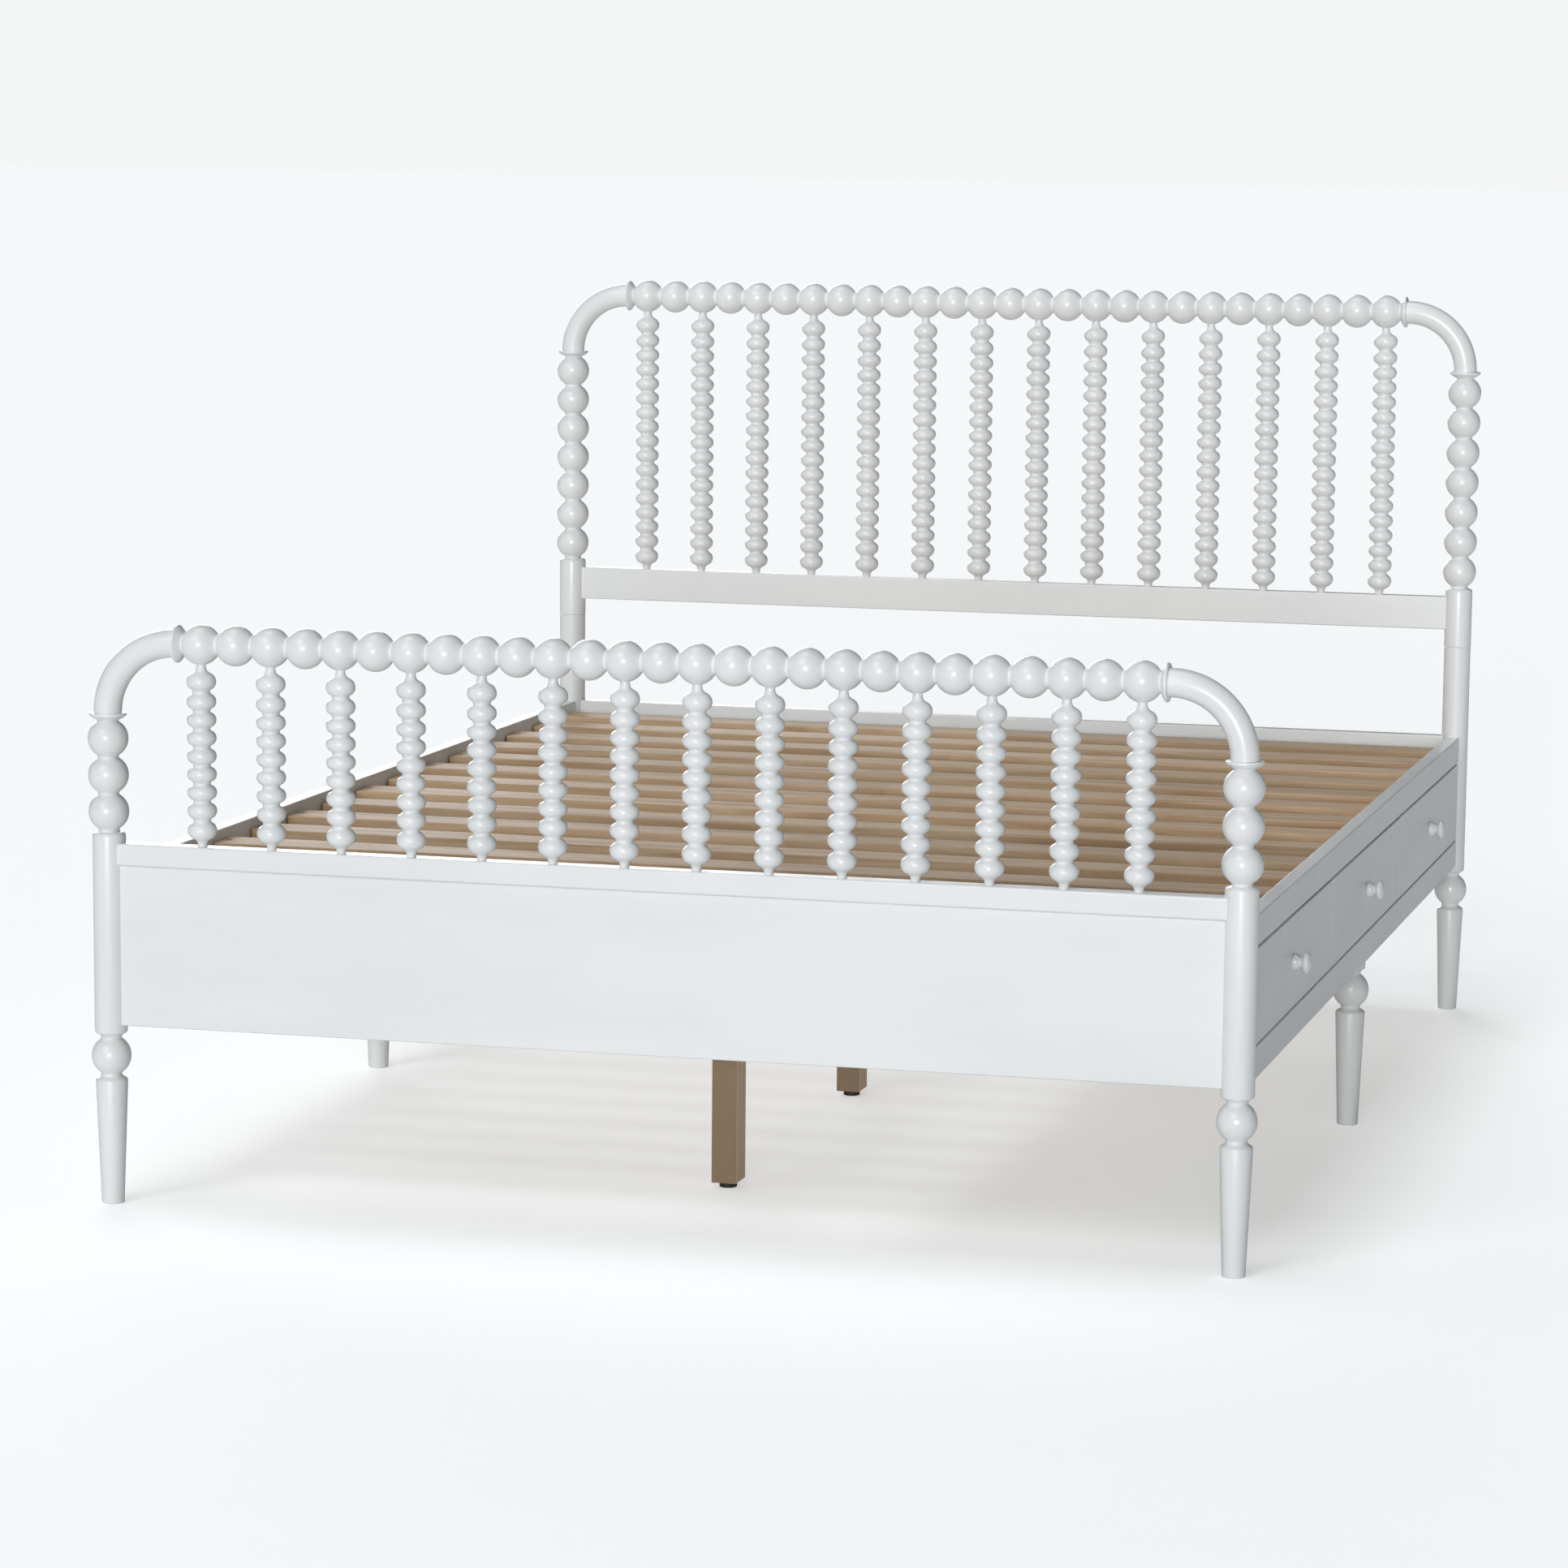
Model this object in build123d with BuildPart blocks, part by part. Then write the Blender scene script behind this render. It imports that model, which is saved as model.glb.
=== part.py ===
from build123d import *

import os
from collections import namedtuple

# A queen-size wooden bed frame, in millimetres. X runs across the bed with the
# drawers on its +X side, Y runs along it with the headboard at +Y, and Z is up.
# The origin is on the floor, under the middle of the bed.

# ---------------------------------------------------------------- the mattress
mattress_width = 1524
mattress_length = 2032
mattress_side_gap = 6           # between the mattress and each side rail
mattress_end_gap = 6.5          # between the mattress and each post

# ------------------------------------------------------------------ the boards
rail_thickness = 22
rail_bottom = 247
rail_top = 467
bottom_rail_height = 44
top_rail_height = 42
panel_thickness = 22
panel_bottom = 249
panel_edge_radius = 2
cap_rail_thickness = 30
cap_rail_bottom = 470
cap_rail_top = 500
cross_rail_bottom = 648
cross_rail_top = 703
head_seam = 619                 # where each head post stands on its leg
board_edge_radius = 1.5
cap_edge_radius = 3
end_rail_bottom = 247           # of the headboard's lowest board
end_rail_top = 468
housing_depth = 12              # how far a board runs into a post

# --------------------------------------------------------------- the turnings
post_radius = 22.5
post_inset = 10                 # from the rails' outer face to the post's axis
head_leg_step = 0.5             # how much slimmer a head leg is than its post
side_leg_radius = 21
foot_radius = 15.5
foot_chamfer = 1.5
taper_radius = 22
taper_top = 172
neck_radius = 14
ball_radius = 27
ball_bottom = 180
ball_top = 231
shoulder_run = 8.5
bead_radius = 27.5
bead_softness = 0.1             # share of each swell taken by the hollow arc
shoulder_softness = 0.35
post_bead_pitch = 50
head_post_beads = 7
foot_post_beads = 3
rail_bead_pitch = 50            # nominal; the pitch is set by a whole number of beads
collar_radius = 25.5
collar_rim = 2
collar_flare = 8                # the saucer between the last neck and the rim
collar_saucer_radius = 20.5     # where the saucer turns from its floor to its side
collar_saucer_height = 3.4
elbow_radius = 97               # of the elbow's centre line
elbow_straight = 3.4
elbow_section_radius = 19
foot_rail_axis = 774
head_rail_axis = 1177

# -------------------------------------------------------------- the spindles
spindle_bead_radius = 20
spindle_neck_radius = 11.5
spindle_end_radius = 5.5
spindle_bead_pitch = 24.7       # nominal, as above
spindle_end_step = 27           # from the onion bead to the next bead
spindle_foot_rise = 22          # from the seat to the lowest bead
spindle_head_drop = 50          # from the rail's axis to the highest bead
spindle_softness = 0.22
onion_softness = 0.5
spindle_tenon = 15
beads_per_spindle = 2           # a spindle stands under every second bead

# ------------------------------------------------------------------- the fits
joint_fit = 0.1                 # all round a dowel, a tenon or a bolt
hole_relief = 1                 # beyond the end of a dowel, a tenon or a bolt

# ----------------------------------------------------------- dowels and bolts
elbow_dowel_radius = 5
elbow_dowel_length = 40
rail_dowel_radius = 4
rail_dowel_length = 38
hanger_bolt_radius = 4
hanger_bolt_length = 80
frame_bolt_radius = 3
frame_bolt_head_radius = 5.5
frame_bolt_head_height = 4
bracket_bolt_length = 18
slat_screw_radius = 2
slat_screw_length = 30
slat_screw_head_radius = 4

# ------------------------------------------------------------ beam, legs, slats
beam_width = 35
beam_height = 70
slat_width = 70
slat_thickness = 15
slat_count = 14
slat_top = 452
slat_side_gap = 2
slat_end_margin = 74            # from a panel's inner face to the nearest slat's middle
slat_edge_radius = 2
ledger_width = 25
ledger_height = 25
ledger_end_gap = 5
centre_leg_width = 36
centre_leg_depth = 49
centre_leg_spacing = 700
glide_radius = 12.5
glide_height = 9
glide_edge_radius = 1.5
glide_stud_radius = 4
glide_stud_length = 24
socket_radius = 6.5
socket_length = 26
socket_flange_radius = 10
socket_flange_height = 2
thread_fit = 0.3
leg_flat_depth = 16             # thickness of a side leg where it laps the rail
leg_lap_height = 40
hanger_sheet = 2
hanger_shelf_length = 40
hanger_height = 50
hanger_flange_width = 22
bracket_sheet = 3
bracket_height = 34
bracket_bottom = 252
bracket_leg = 45
bracket_corner = 34             # from the corner to where the bracket leaves each board

# ----------------------------------------------------------------- the drawers
drawer_count = 3
drawer_names = ("foot", "middle", "head")
front_thickness = 18
front_end_gap = 2
front_gap = 3
front_bottom_gap = 2
front_top_gap = 2.5
drawer_depth = 460
drawer_side_thickness = 15
drawer_side_bottom = 300
drawer_side_top = 392
drawer_back_top = 404
drawer_bottom_thickness = 6
drawer_bottom_underside = 306
drawer_bottom_groove = 6
drawer_side_gap = 1.5
divider_thickness = 18
divider_bottom = 251
back_rail_thickness = 18
back_rail_gap = 14              # between a closed drawer and the back rail
runner_height = 14
runner_axis = 346
runner_reach = 7.5              # how far a runner stands into a drawer side's groove
runner_end_gap = 0.5            # the runner's end stops a closing drawer
runner_top_gap = 0.3
runner_bottom_gap = 0.7
groove_depth = 8.5
groove_blind = 18               # solid wood left between the groove and the front
stop_length = 20
stop_reach = 30
stop_clearance = 1
stop_side_gap = 2
drawer_travel = 340
front_edge_radius = 1
knob_base_radius = 11.5
knob_base_height = 6
knob_base_round = 2
knob_neck_radius = 6
knob_neck_height = 10.5
knob_head_radius = 15
knob_head_height = 19.5         # of the head's widest circle above the front
knob_head_round = 4
knob_length = 26
knob_tenon_radius = 5
knob_tenon_length = 14

# ------------------------------------------------------------- derived places
rail_inner = mattress_width / 2 + mattress_side_gap
rail_outer = rail_inner + rail_thickness
post_x = rail_outer - post_inset
post_y = mattress_length / 2 + mattress_end_gap + post_radius
panel_inner = post_y - panel_thickness / 2
head_leg_radius = post_radius - head_leg_step
board_end = post_x - post_radius + housing_depth
post_flat = post_y - (post_radius**2 - (post_x - rail_inner) ** 2) ** 0.5 + joint_fit
rail_neck = post_x - elbow_radius - elbow_straight - collar_rim - collar_flare
rail_beads = 2 * int(rail_neck / rail_bead_pitch) + 1
rail_pitch = 2 * rail_neck / rail_beads
spindle_count = (rail_beads + 1) // beads_per_spindle
spindle_pitch = beads_per_spindle * rail_pitch
slat_bottom = slat_top - slat_thickness
ledger_bottom = slat_bottom - ledger_height
beam_bottom = slat_bottom - beam_height
side_leg_x = rail_outer - side_leg_radius
side_lap = rail_inner - leg_flat_depth
back_rail_outer = rail_inner + rail_thickness - front_thickness - drawer_depth - back_rail_gap
front_inner = rail_outer - front_thickness
drawer_back = front_inner - drawer_depth
bottom_rail_top = rail_bottom + bottom_rail_height
top_rail_bottom = rail_top - top_rail_height
front_bottom = bottom_rail_top + front_bottom_gap
front_top = top_rail_bottom - front_top_gap
front_span = 2 * (post_y - post_radius - front_end_gap)
front_width = (front_span - (drawer_count - 1) * front_gap) / drawer_count
front_pitch = front_width + front_gap

Move = namedtuple("Move", "radius height softness", defaults=[None])


def turning_plane(x, y):
    """Plane whose X is the radius and whose Y is the height of an upright turning."""
    return Plane(origin=(x, y, 0), x_dir=(1, 0, 0), z_dir=(0, -1, 0))


def swell(start, end, softness):
    """Two arcs, tangent to each other, that meet both points parallel to the axis.

    The hollow arc takes the given share of the way. A softness of 1 leaves it alone.
    """
    share = softness if end[0] > start[0] else 1 - softness
    meet = tuple(first + (second - first) * share for first, second in zip(start, end))
    arcs = []
    if share > 0:
        arcs.append(Edge.make_tangent_arc(start, (0, 1), meet))
    if share < 1:
        arcs.append(Edge.make_tangent_arc(end, (0, -1), meet))
    return arcs


def turned_section(moves):
    """Half section of a turning, from its axis through the moves and back to it.

    A move without softness is a straight cut, and any other is a swell.
    """
    with BuildSketch() as section:
        with BuildLine():
            here = (0, moves[0].height)
            for move in moves + [Move(0, moves[-1].height)]:
                there = (move.radius, move.height)
                if move.softness is None:
                    Line(here, there)
                else:
                    for arc in swell(here, there, move.softness):
                        add(arc)
                here = there
            Line(here, (0, moves[0].height))
        make_face()
    return section.sketch


def bead_moves(first_neck, pitch, count):
    """A row of equal beads that starts and ends at a neck."""
    moves = []
    for index in range(count):
        moves.append(Move(bead_radius, first_neck + (index + 0.5) * pitch, bead_softness))
        moves.append(Move(neck_radius, first_neck + (index + 1) * pitch, bead_softness))
    return moves


def collar_moves(neck):
    """The collar that ends a row of beads: a saucer that flares to a rim for the elbow."""
    return [
        Move(collar_saucer_radius, neck + collar_saucer_height),
        Move(collar_radius, neck + collar_flare),
        Move(collar_radius, neck + collar_flare + collar_rim),
    ]


def leg_moves(shank_radius):
    """The turned foot shared by all legs: taper, ball, and the shoulder of the shank."""
    ball_middle = (ball_bottom + ball_top) / 2
    return [
        Move(foot_radius - foot_chamfer, 0),
        Move(foot_radius, foot_chamfer),
        Move(taper_radius, taper_top),
        Move(neck_radius, ball_bottom, shoulder_softness),
        Move(ball_radius, ball_middle, bead_softness),
        Move(neck_radius, ball_top, bead_softness),
        Move(shank_radius, ball_top + shoulder_run, shoulder_softness),
    ]


def post_bead_moves(rail_axis, bead_count):
    """From the shank's shoulder up the beads to the collar that carries the elbow."""
    neck = rail_axis - elbow_radius - collar_rim - collar_flare
    first_neck = neck - bead_count * post_bead_pitch
    return [
        Move(post_radius, first_neck - shoulder_run),
        Move(neck_radius, first_neck, shoulder_softness),
        *bead_moves(first_neck, post_bead_pitch, bead_count),
        *collar_moves(neck),
    ]


def spindle_moves(seat, rail_axis):
    """A spindle between its seat and its rail, with an onion bead at each end."""
    low_bead = seat + spindle_foot_rise
    high_bead = rail_axis - spindle_head_drop
    rail_surface = rail_axis - bead_radius
    middle = high_bead - low_bead - 2 * spindle_end_step
    steps = max(1, round(middle / spindle_bead_pitch))
    beads = [low_bead]
    beads += [low_bead + spindle_end_step + middle * index / steps for index in range(steps + 1)]
    beads += [high_bead]
    moves = [
        Move(spindle_end_radius, seat - spindle_tenon),
        Move(spindle_end_radius, seat),
        Move(spindle_bead_radius, low_bead, onion_softness),
    ]
    for below, above in zip(beads, beads[1:]):
        moves.append(Move(spindle_neck_radius, (below + above) / 2, spindle_softness))
        moves.append(Move(spindle_bead_radius, above, spindle_softness))
    moves.append(Move(spindle_end_radius, rail_surface, onion_softness))
    moves.append(Move(spindle_end_radius, rail_surface + spindle_tenon))
    return moves


def box_between(low, high, mode=Mode.ADD):
    """A box given by its lowest and highest corners."""
    size = [top - bottom for bottom, top in zip(low, high)]
    with Locations(tuple((bottom + top) / 2 for bottom, top in zip(low, high))):
        Box(*size, mode=mode)


def cut_bores(radius, depth, centres, rotation=(0, 0, 0)):
    """Round holes to this depth on both sides of each centre, so that one side is in the air."""
    with Locations(*[Location(centre, rotation) for centre in centres]):
        Cylinder(radius + joint_fit, 2 * (depth + hole_relief), mode=Mode.SUBTRACT)


def save(part, name):
    """Label a finished piece and write it under its own name."""
    part.label = name
    export_step(part, f"parts/{name}.step")


def span(first, second):
    """Two numbers, the lower one first."""
    return min(first, second), max(first, second)


os.makedirs("parts", exist_ok=True)
along_x = (0, 90, 0)
along_y = (90, 0, 0)
sides = {"left": -1, "right": 1}
ends = {"foot": -1, "head": 1}
rail_axes = {"foot": foot_rail_axis, "head": head_rail_axis}
spindle_seats = {"foot": cap_rail_top, "head": cross_rail_top}
spindle_spots = [
    (index - (spindle_count - 1) / 2) * spindle_pitch for index in range(spindle_count)
]
# Each side board's side, bottom, top and the heights of the dowels in its ends.
side_boards = {
    "plain_side_rail": (
        "left",
        rail_bottom,
        rail_top,
        (
            rail_bottom + bottom_rail_height / 2,
            (rail_bottom + rail_top) / 2,
            rail_top - top_rail_height / 2,
        ),
    ),
    "drawer_side_bottom_rail": (
        "right",
        rail_bottom,
        bottom_rail_top,
        (rail_bottom + bottom_rail_height / 2,),
    ),
    "drawer_side_top_rail": (
        "right",
        top_rail_bottom,
        rail_top,
        (rail_top - top_rail_height / 2,),
    ),
}
dowel_x = (rail_inner + rail_outer) / 2
lap_bolt_heights = (rail_bottom + leg_lap_height / 4, rail_bottom + leg_lap_height * 3 / 4)
bracket_bolt_height = bracket_bottom + bracket_height / 2
bracket_bolt_y = panel_inner - bracket_corner - bracket_leg / 2
bracket_bolt_x = rail_inner - bracket_corner - bracket_leg / 2


def cut_housing(x, end, thickness, bottom, top):
    """The housing in a post for the end of a board that runs between the posts."""
    inner_x = post_x - post_radius - hole_relief
    low_x, high_x = (inner_x, board_end) if x > 0 else (-board_end, -inner_x)
    box_between(
        (low_x, end * post_y - thickness / 2, bottom),
        (high_x, end * post_y + thickness / 2, top),
        mode=Mode.SUBTRACT,
    )


def cut_side_board_seats(side_name, end):
    """The flats and the dowel holes in a post for the ends of its side boards."""
    side = sides[side_name]
    low_x, high_x = span(side * rail_inner, side * rail_outer)
    low_y, high_y = span(end * (post_y - post_radius - hole_relief), end * post_flat)
    for board_side, bottom, top, dowel_heights in side_boards.values():
        if board_side == side_name:
            box_between((low_x, low_y, bottom), (high_x, high_y, top), mode=Mode.SUBTRACT)
            cut_bores(
                rail_dowel_radius,
                rail_dowel_length / 2,
                [(side * dowel_x, end * post_flat, height) for height in dowel_heights],
                along_y,
            )


# ------------------------------------------------------------- posts and legs
for side_name, side in sides.items():
    x = side * post_x
    head_axis = Axis((x, post_y, 0), (0, 0, 1))
    foot_axis = Axis((x, -post_y, 0), (0, 0, 1))

    section = turned_section(leg_moves(head_leg_radius) + [Move(head_leg_radius, head_seam)])
    with BuildPart() as head_leg:
        with BuildSketch(turning_plane(x, post_y)):
            add(section)
        revolve(axis=head_axis)
        cut_housing(x, 1, panel_thickness, end_rail_bottom, end_rail_top)
        cut_side_board_seats(side_name, 1)
        cut_bores(hanger_bolt_radius, hanger_bolt_length / 2, [(x, post_y, head_seam)])
    save(head_leg.part, f"head_leg_{side_name}")

    section = turned_section(
        [Move(post_radius, head_seam)] + post_bead_moves(head_rail_axis, head_post_beads)
    )
    with BuildPart() as head_post:
        with BuildSketch(turning_plane(x, post_y)):
            add(section)
        revolve(axis=head_axis)
        cut_housing(x, 1, panel_thickness, cross_rail_bottom, cross_rail_top)
        cut_bores(hanger_bolt_radius, hanger_bolt_length / 2, [(x, post_y, head_seam)])
        elbow_foot = (x, post_y, head_rail_axis - elbow_radius)
        cut_bores(elbow_dowel_radius, elbow_dowel_length / 2, [elbow_foot])
    save(head_post.part, f"head_post_{side_name}")

    section = turned_section(
        leg_moves(post_radius) + post_bead_moves(foot_rail_axis, foot_post_beads)
    )
    with BuildPart() as foot_post:
        with BuildSketch(turning_plane(x, -post_y)):
            add(section)
        revolve(axis=foot_axis)
        cut_housing(x, -1, panel_thickness, panel_bottom, cap_rail_bottom)
        cut_housing(x, -1, cap_rail_thickness, cap_rail_bottom, cap_rail_top)
        cut_side_board_seats(side_name, -1)
        elbow_foot = (x, -post_y, foot_rail_axis - elbow_radius)
        cut_bores(elbow_dowel_radius, elbow_dowel_length / 2, [elbow_foot])
    save(foot_post.part, f"foot_post_{side_name}")

    # A side leg stands under its rail, and its top laps the rail's inner face.
    lap_top = rail_bottom + leg_lap_height
    section = turned_section(leg_moves(side_leg_radius) + [Move(side_leg_radius, lap_top)])
    with BuildPart() as side_leg:
        with BuildSketch(turning_plane(side * side_leg_x, 0)):
            add(section)
        revolve(axis=Axis((side * side_leg_x, 0, 0), (0, 0, 1)))
        off_lap = ((side_lap - side_leg_radius, side_lap), (rail_inner, rail_outer + hole_relief))
        for inner, outer in off_lap:
            low_x, high_x = span(side * inner, side * outer)
            box_between(
                (low_x, -side_leg_radius, rail_bottom),
                (high_x, side_leg_radius, lap_top),
                mode=Mode.SUBTRACT,
            )
        bolt_spots = [(side * rail_inner, 0, height) for height in lap_bolt_heights]
        cut_bores(frame_bolt_radius, leg_flat_depth, bolt_spots, along_x)
    save(side_leg.part, f"side_leg_{side_name}")

# --------------------------------------------------- beaded rails and spindles
rail_end = rail_neck + collar_flare + collar_rim
for end_name, end in ends.items():
    y, rail_axis, seat = end * post_y, rail_axes[end_name], spindle_seats[end_name]
    rail_plane = Plane(origin=(0, y, rail_axis), x_dir=(0, 0, 1), z_dir=(0, 1, 0))
    left_collar = [Move(move.radius, -move.height) for move in reversed(collar_moves(rail_neck))]

    section = turned_section(
        left_collar
        + [Move(neck_radius, -rail_neck)]
        + bead_moves(-rail_neck, rail_pitch, rail_beads)
        + collar_moves(rail_neck)
    )
    with BuildPart() as beaded_rail:
        with BuildSketch(rail_plane):
            add(section)
        revolve(axis=Axis((0, y, rail_axis), (1, 0, 0)))
        tenon_spots = [(spot, y, rail_axis - bead_radius) for spot in spindle_spots]
        cut_bores(spindle_end_radius, spindle_tenon, tenon_spots)
        dowel_spots = [(side * rail_end, y, rail_axis) for side in sides.values()]
        cut_bores(elbow_dowel_radius, elbow_dowel_length / 2, dowel_spots, along_x)
    save(beaded_rail.part, f"{end_name}_beaded_rail")

    for side_name, side in sides.items():
        elbow_foot = (side * post_x, y, rail_axis - elbow_radius)
        bend_end = (side * (post_x - elbow_radius), y, rail_axis)
        elbow_end = (side * rail_end, y, rail_axis)
        with BuildPart() as elbow:
            with BuildLine():
                TangentArc(elbow_foot, bend_end, tangent=(0, 0, 1))
                Line(bend_end, elbow_end)
            with BuildSketch(Plane(origin=elbow_foot, z_dir=(0, 0, 1))):
                Circle(elbow_section_radius)
            sweep()
            cut_bores(elbow_dowel_radius, elbow_dowel_length / 2, [elbow_foot])
            cut_bores(elbow_dowel_radius, elbow_dowel_length / 2, [elbow_end], along_x)
        save(elbow.part, f"{end_name}_elbow_{side_name}")

    section = turned_section(spindle_moves(seat, rail_axis))
    with BuildPart() as spindle:
        with BuildSketch(turning_plane(0, 0)):
            add(section)
        revolve(axis=Axis.Z)
    with BuildPart() as spindles:
        with Locations(*[(spot, y, 0) for spot in spindle_spots]):
            add(spindle.part)
    save(spindles.part, f"{end_name}_spindles")

# --------------------------------------------------- boards between the posts
with BuildPart() as foot_cap_rail:
    box_between(
        (-board_end, -post_y - cap_rail_thickness / 2, cap_rail_bottom),
        (board_end, -post_y + cap_rail_thickness / 2, cap_rail_top),
    )
    long_edges = foot_cap_rail.edges().filter_by(Axis.X).group_by(Axis.Z)
    fillet(long_edges[-1], cap_edge_radius)
    fillet(long_edges[0], board_edge_radius)
    cut_bores(
        spindle_end_radius, spindle_tenon, [(spot, -post_y, cap_rail_top) for spot in spindle_spots]
    )
save(foot_cap_rail.part, "foot_cap_rail")

panel_bolt_spots = [(side * bracket_bolt_x, bracket_bolt_height) for side in sides.values()]
hanger_bolt_x = beam_width / 2 + hanger_sheet + (hanger_flange_width - hanger_sheet) / 2
hanger_bolt_z = beam_bottom - hanger_sheet + hanger_height / 2
panel_bolt_spots += [(side * hanger_bolt_x, hanger_bolt_z) for side in sides.values()]
end_boards = {
    "foot_panel": (-1, panel_bottom, cap_rail_bottom),
    "head_end_rail": (1, end_rail_bottom, end_rail_top),
    "head_cross_rail": (1, cross_rail_bottom, cross_rail_top),
}
for name, (end, bottom, top) in end_boards.items():
    y = end * post_y
    with BuildPart() as end_board:
        box_between(
            (-board_end, y - panel_thickness / 2, bottom),
            (board_end, y + panel_thickness / 2, top),
        )
        fillet(end_board.edges().filter_by(Axis.X), panel_edge_radius)
        if name == "head_cross_rail":
            seats = [(spot, y, cross_rail_top) for spot in spindle_spots]
            cut_bores(spindle_end_radius, spindle_tenon, seats)
        else:
            bolt_spots = [(x, end * panel_inner, height) for x, height in panel_bolt_spots]
            cut_bores(
                frame_bolt_radius, bracket_bolt_length - bracket_sheet, bolt_spots, along_y
            )
    save(end_board.part, name)

# ------------------------------------------------------------------ side boards
for name, (side_name, bottom, top, dowel_heights) in side_boards.items():
    side = sides[side_name]
    low_x, high_x = span(side * rail_inner, side * rail_outer)
    dowel_spots = [
        (side * dowel_x, end * post_flat, height)
        for end in ends.values()
        for height in dowel_heights
    ]
    with BuildPart() as side_board:
        box_between((low_x, -post_flat, bottom), (high_x, post_flat, top))
        fillet(side_board.edges().filter_by(Axis.Y), board_edge_radius)
        cut_bores(rail_dowel_radius, rail_dowel_length / 2, dowel_spots, along_y)
        if bottom == rail_bottom:
            leg_spots = [(side * rail_inner, 0, height) for height in lap_bolt_heights]
            cut_bores(frame_bolt_radius, leg_flat_depth, leg_spots, along_x)
            bracket_spots = [
                (side * rail_inner, end * bracket_bolt_y, bracket_bolt_height)
                for end in ends.values()
            ]
            cut_bores(
                frame_bolt_radius, bracket_bolt_length - bracket_sheet, bracket_spots, along_x
            )
    save(side_board.part, name)

# --------------------------------------------- the steel that holds the corners
with BuildPart() as corner_brackets:
    with BuildSketch(Plane.XY.offset(bracket_bottom)):
        with BuildLine():
            Polyline(
                (rail_inner, panel_inner - bracket_corner - bracket_leg),
                (rail_inner, panel_inner - bracket_corner),
                (rail_inner - bracket_corner, panel_inner),
                (rail_inner - bracket_corner - bracket_leg, panel_inner),
            )
            offset(amount=bracket_sheet, side=Side.LEFT)
        make_face()
    extrude(amount=bracket_height)
    cut_bores(
        frame_bolt_radius, bracket_sheet, [(rail_inner, bracket_bolt_y, bracket_bolt_height)], along_x
    )
    cut_bores(
        frame_bolt_radius, bracket_sheet, [(bracket_bolt_x, panel_inner, bracket_bolt_height)], along_y
    )
    mirror(about=Plane.YZ)
    mirror(about=Plane.XZ)
save(corner_brackets.part, "corner_brackets")

with BuildPart() as beam_hangers:
    hanger_bottom = beam_bottom - hanger_sheet
    box_between(
        (-beam_width / 2 - hanger_flange_width, panel_inner - hanger_sheet, hanger_bottom),
        (beam_width / 2 + hanger_flange_width, panel_inner, hanger_bottom + hanger_height),
    )
    box_between(
        (-beam_width / 2 - hanger_sheet, panel_inner - hanger_shelf_length, hanger_bottom),
        (beam_width / 2 + hanger_sheet, panel_inner, hanger_bottom + hanger_height),
    )
    box_between(
        (-beam_width / 2, panel_inner - hanger_shelf_length, beam_bottom),
        (beam_width / 2, panel_inner - hanger_sheet, beam_bottom + beam_height),
        mode=Mode.SUBTRACT,
    )
    hanger_spots = [(side * hanger_bolt_x, panel_inner, hanger_bolt_z) for side in sides.values()]
    cut_bores(frame_bolt_radius, hanger_sheet, hanger_spots, along_y)
    mirror(about=Plane.XZ)
save(beam_hangers.part, "beam_hangers")


def add_bolts(length, seat, rotation):
    """A hexagon bolt whose head sits on the seat and whose shank runs along the rotated Z."""
    with Locations(Location(seat, rotation)):
        Cylinder(
            frame_bolt_radius, length, align=(Align.CENTER, Align.CENTER, Align.MIN)
        )
        Cylinder(
            frame_bolt_head_radius,
            frame_bolt_head_height,
            align=(Align.CENTER, Align.CENTER, Align.MAX),
        )


with BuildPart() as frame_bolts:
    bracket_face_x = rail_inner - bracket_sheet
    bracket_face_y = panel_inner - bracket_sheet
    add_bolts(bracket_bolt_length, (bracket_face_x, bracket_bolt_y, bracket_bolt_height), along_x)
    add_bolts(
        bracket_bolt_length, (bracket_bolt_x, bracket_face_y, bracket_bolt_height), (-90, 0, 0)
    )
    add_bolts(
        bracket_bolt_length - bracket_sheet + hanger_sheet,
        (hanger_bolt_x, panel_inner - hanger_sheet, hanger_bolt_z),
        (-90, 0, 0),
    )
    mirror(about=Plane.XZ)
    for height in lap_bolt_heights:
        add_bolts(2 * leg_flat_depth, (side_lap, 0, height), along_x)
    mirror(about=Plane.YZ)
save(frame_bolts.part, "frame_bolts")

with BuildPart() as dowels:
    for end_name, end in ends.items():
        for side in sides.values():
            elbow_foot = (side * post_x, end * post_y, rail_axes[end_name] - elbow_radius)
            elbow_end = (side * rail_end, end * post_y, rail_axes[end_name])
            with Locations(Location(elbow_foot), Location(elbow_end, along_x)):
                Cylinder(elbow_dowel_radius, elbow_dowel_length)
        for side_name, bottom, top, dowel_heights in side_boards.values():
            for height in dowel_heights:
                centre = (sides[side_name] * dowel_x, end * post_flat, height)
                with Locations(Location(centre, along_y)):
                    Cylinder(rail_dowel_radius, rail_dowel_length)
save(dowels.part, "dowels")

# ------------------------------------------------- slats, ledgers, centre beam
slat_reach = panel_inner - slat_end_margin
slat_spots = [slat_reach * (2 * index / (slat_count - 1) - 1) for index in range(slat_count)]
ledger_end = post_y - post_radius - ledger_end_gap
ledger_middle = rail_inner - ledger_width / 2
screw_cone = slat_screw_head_radius - slat_screw_radius
leg_spots = {"foot": -centre_leg_spacing, "middle": 0, "head": centre_leg_spacing}


def screw_section(fit, relief):
    """Half section of a countersunk wood screw, or with some fit and relief, of its hole."""
    return turned_section(
        [
            Move(slat_screw_radius + fit, slat_top - slat_screw_length - relief),
            Move(slat_screw_radius + fit, slat_top - screw_cone),
            Move(slat_screw_head_radius + fit, slat_top),
        ]
    )


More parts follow.
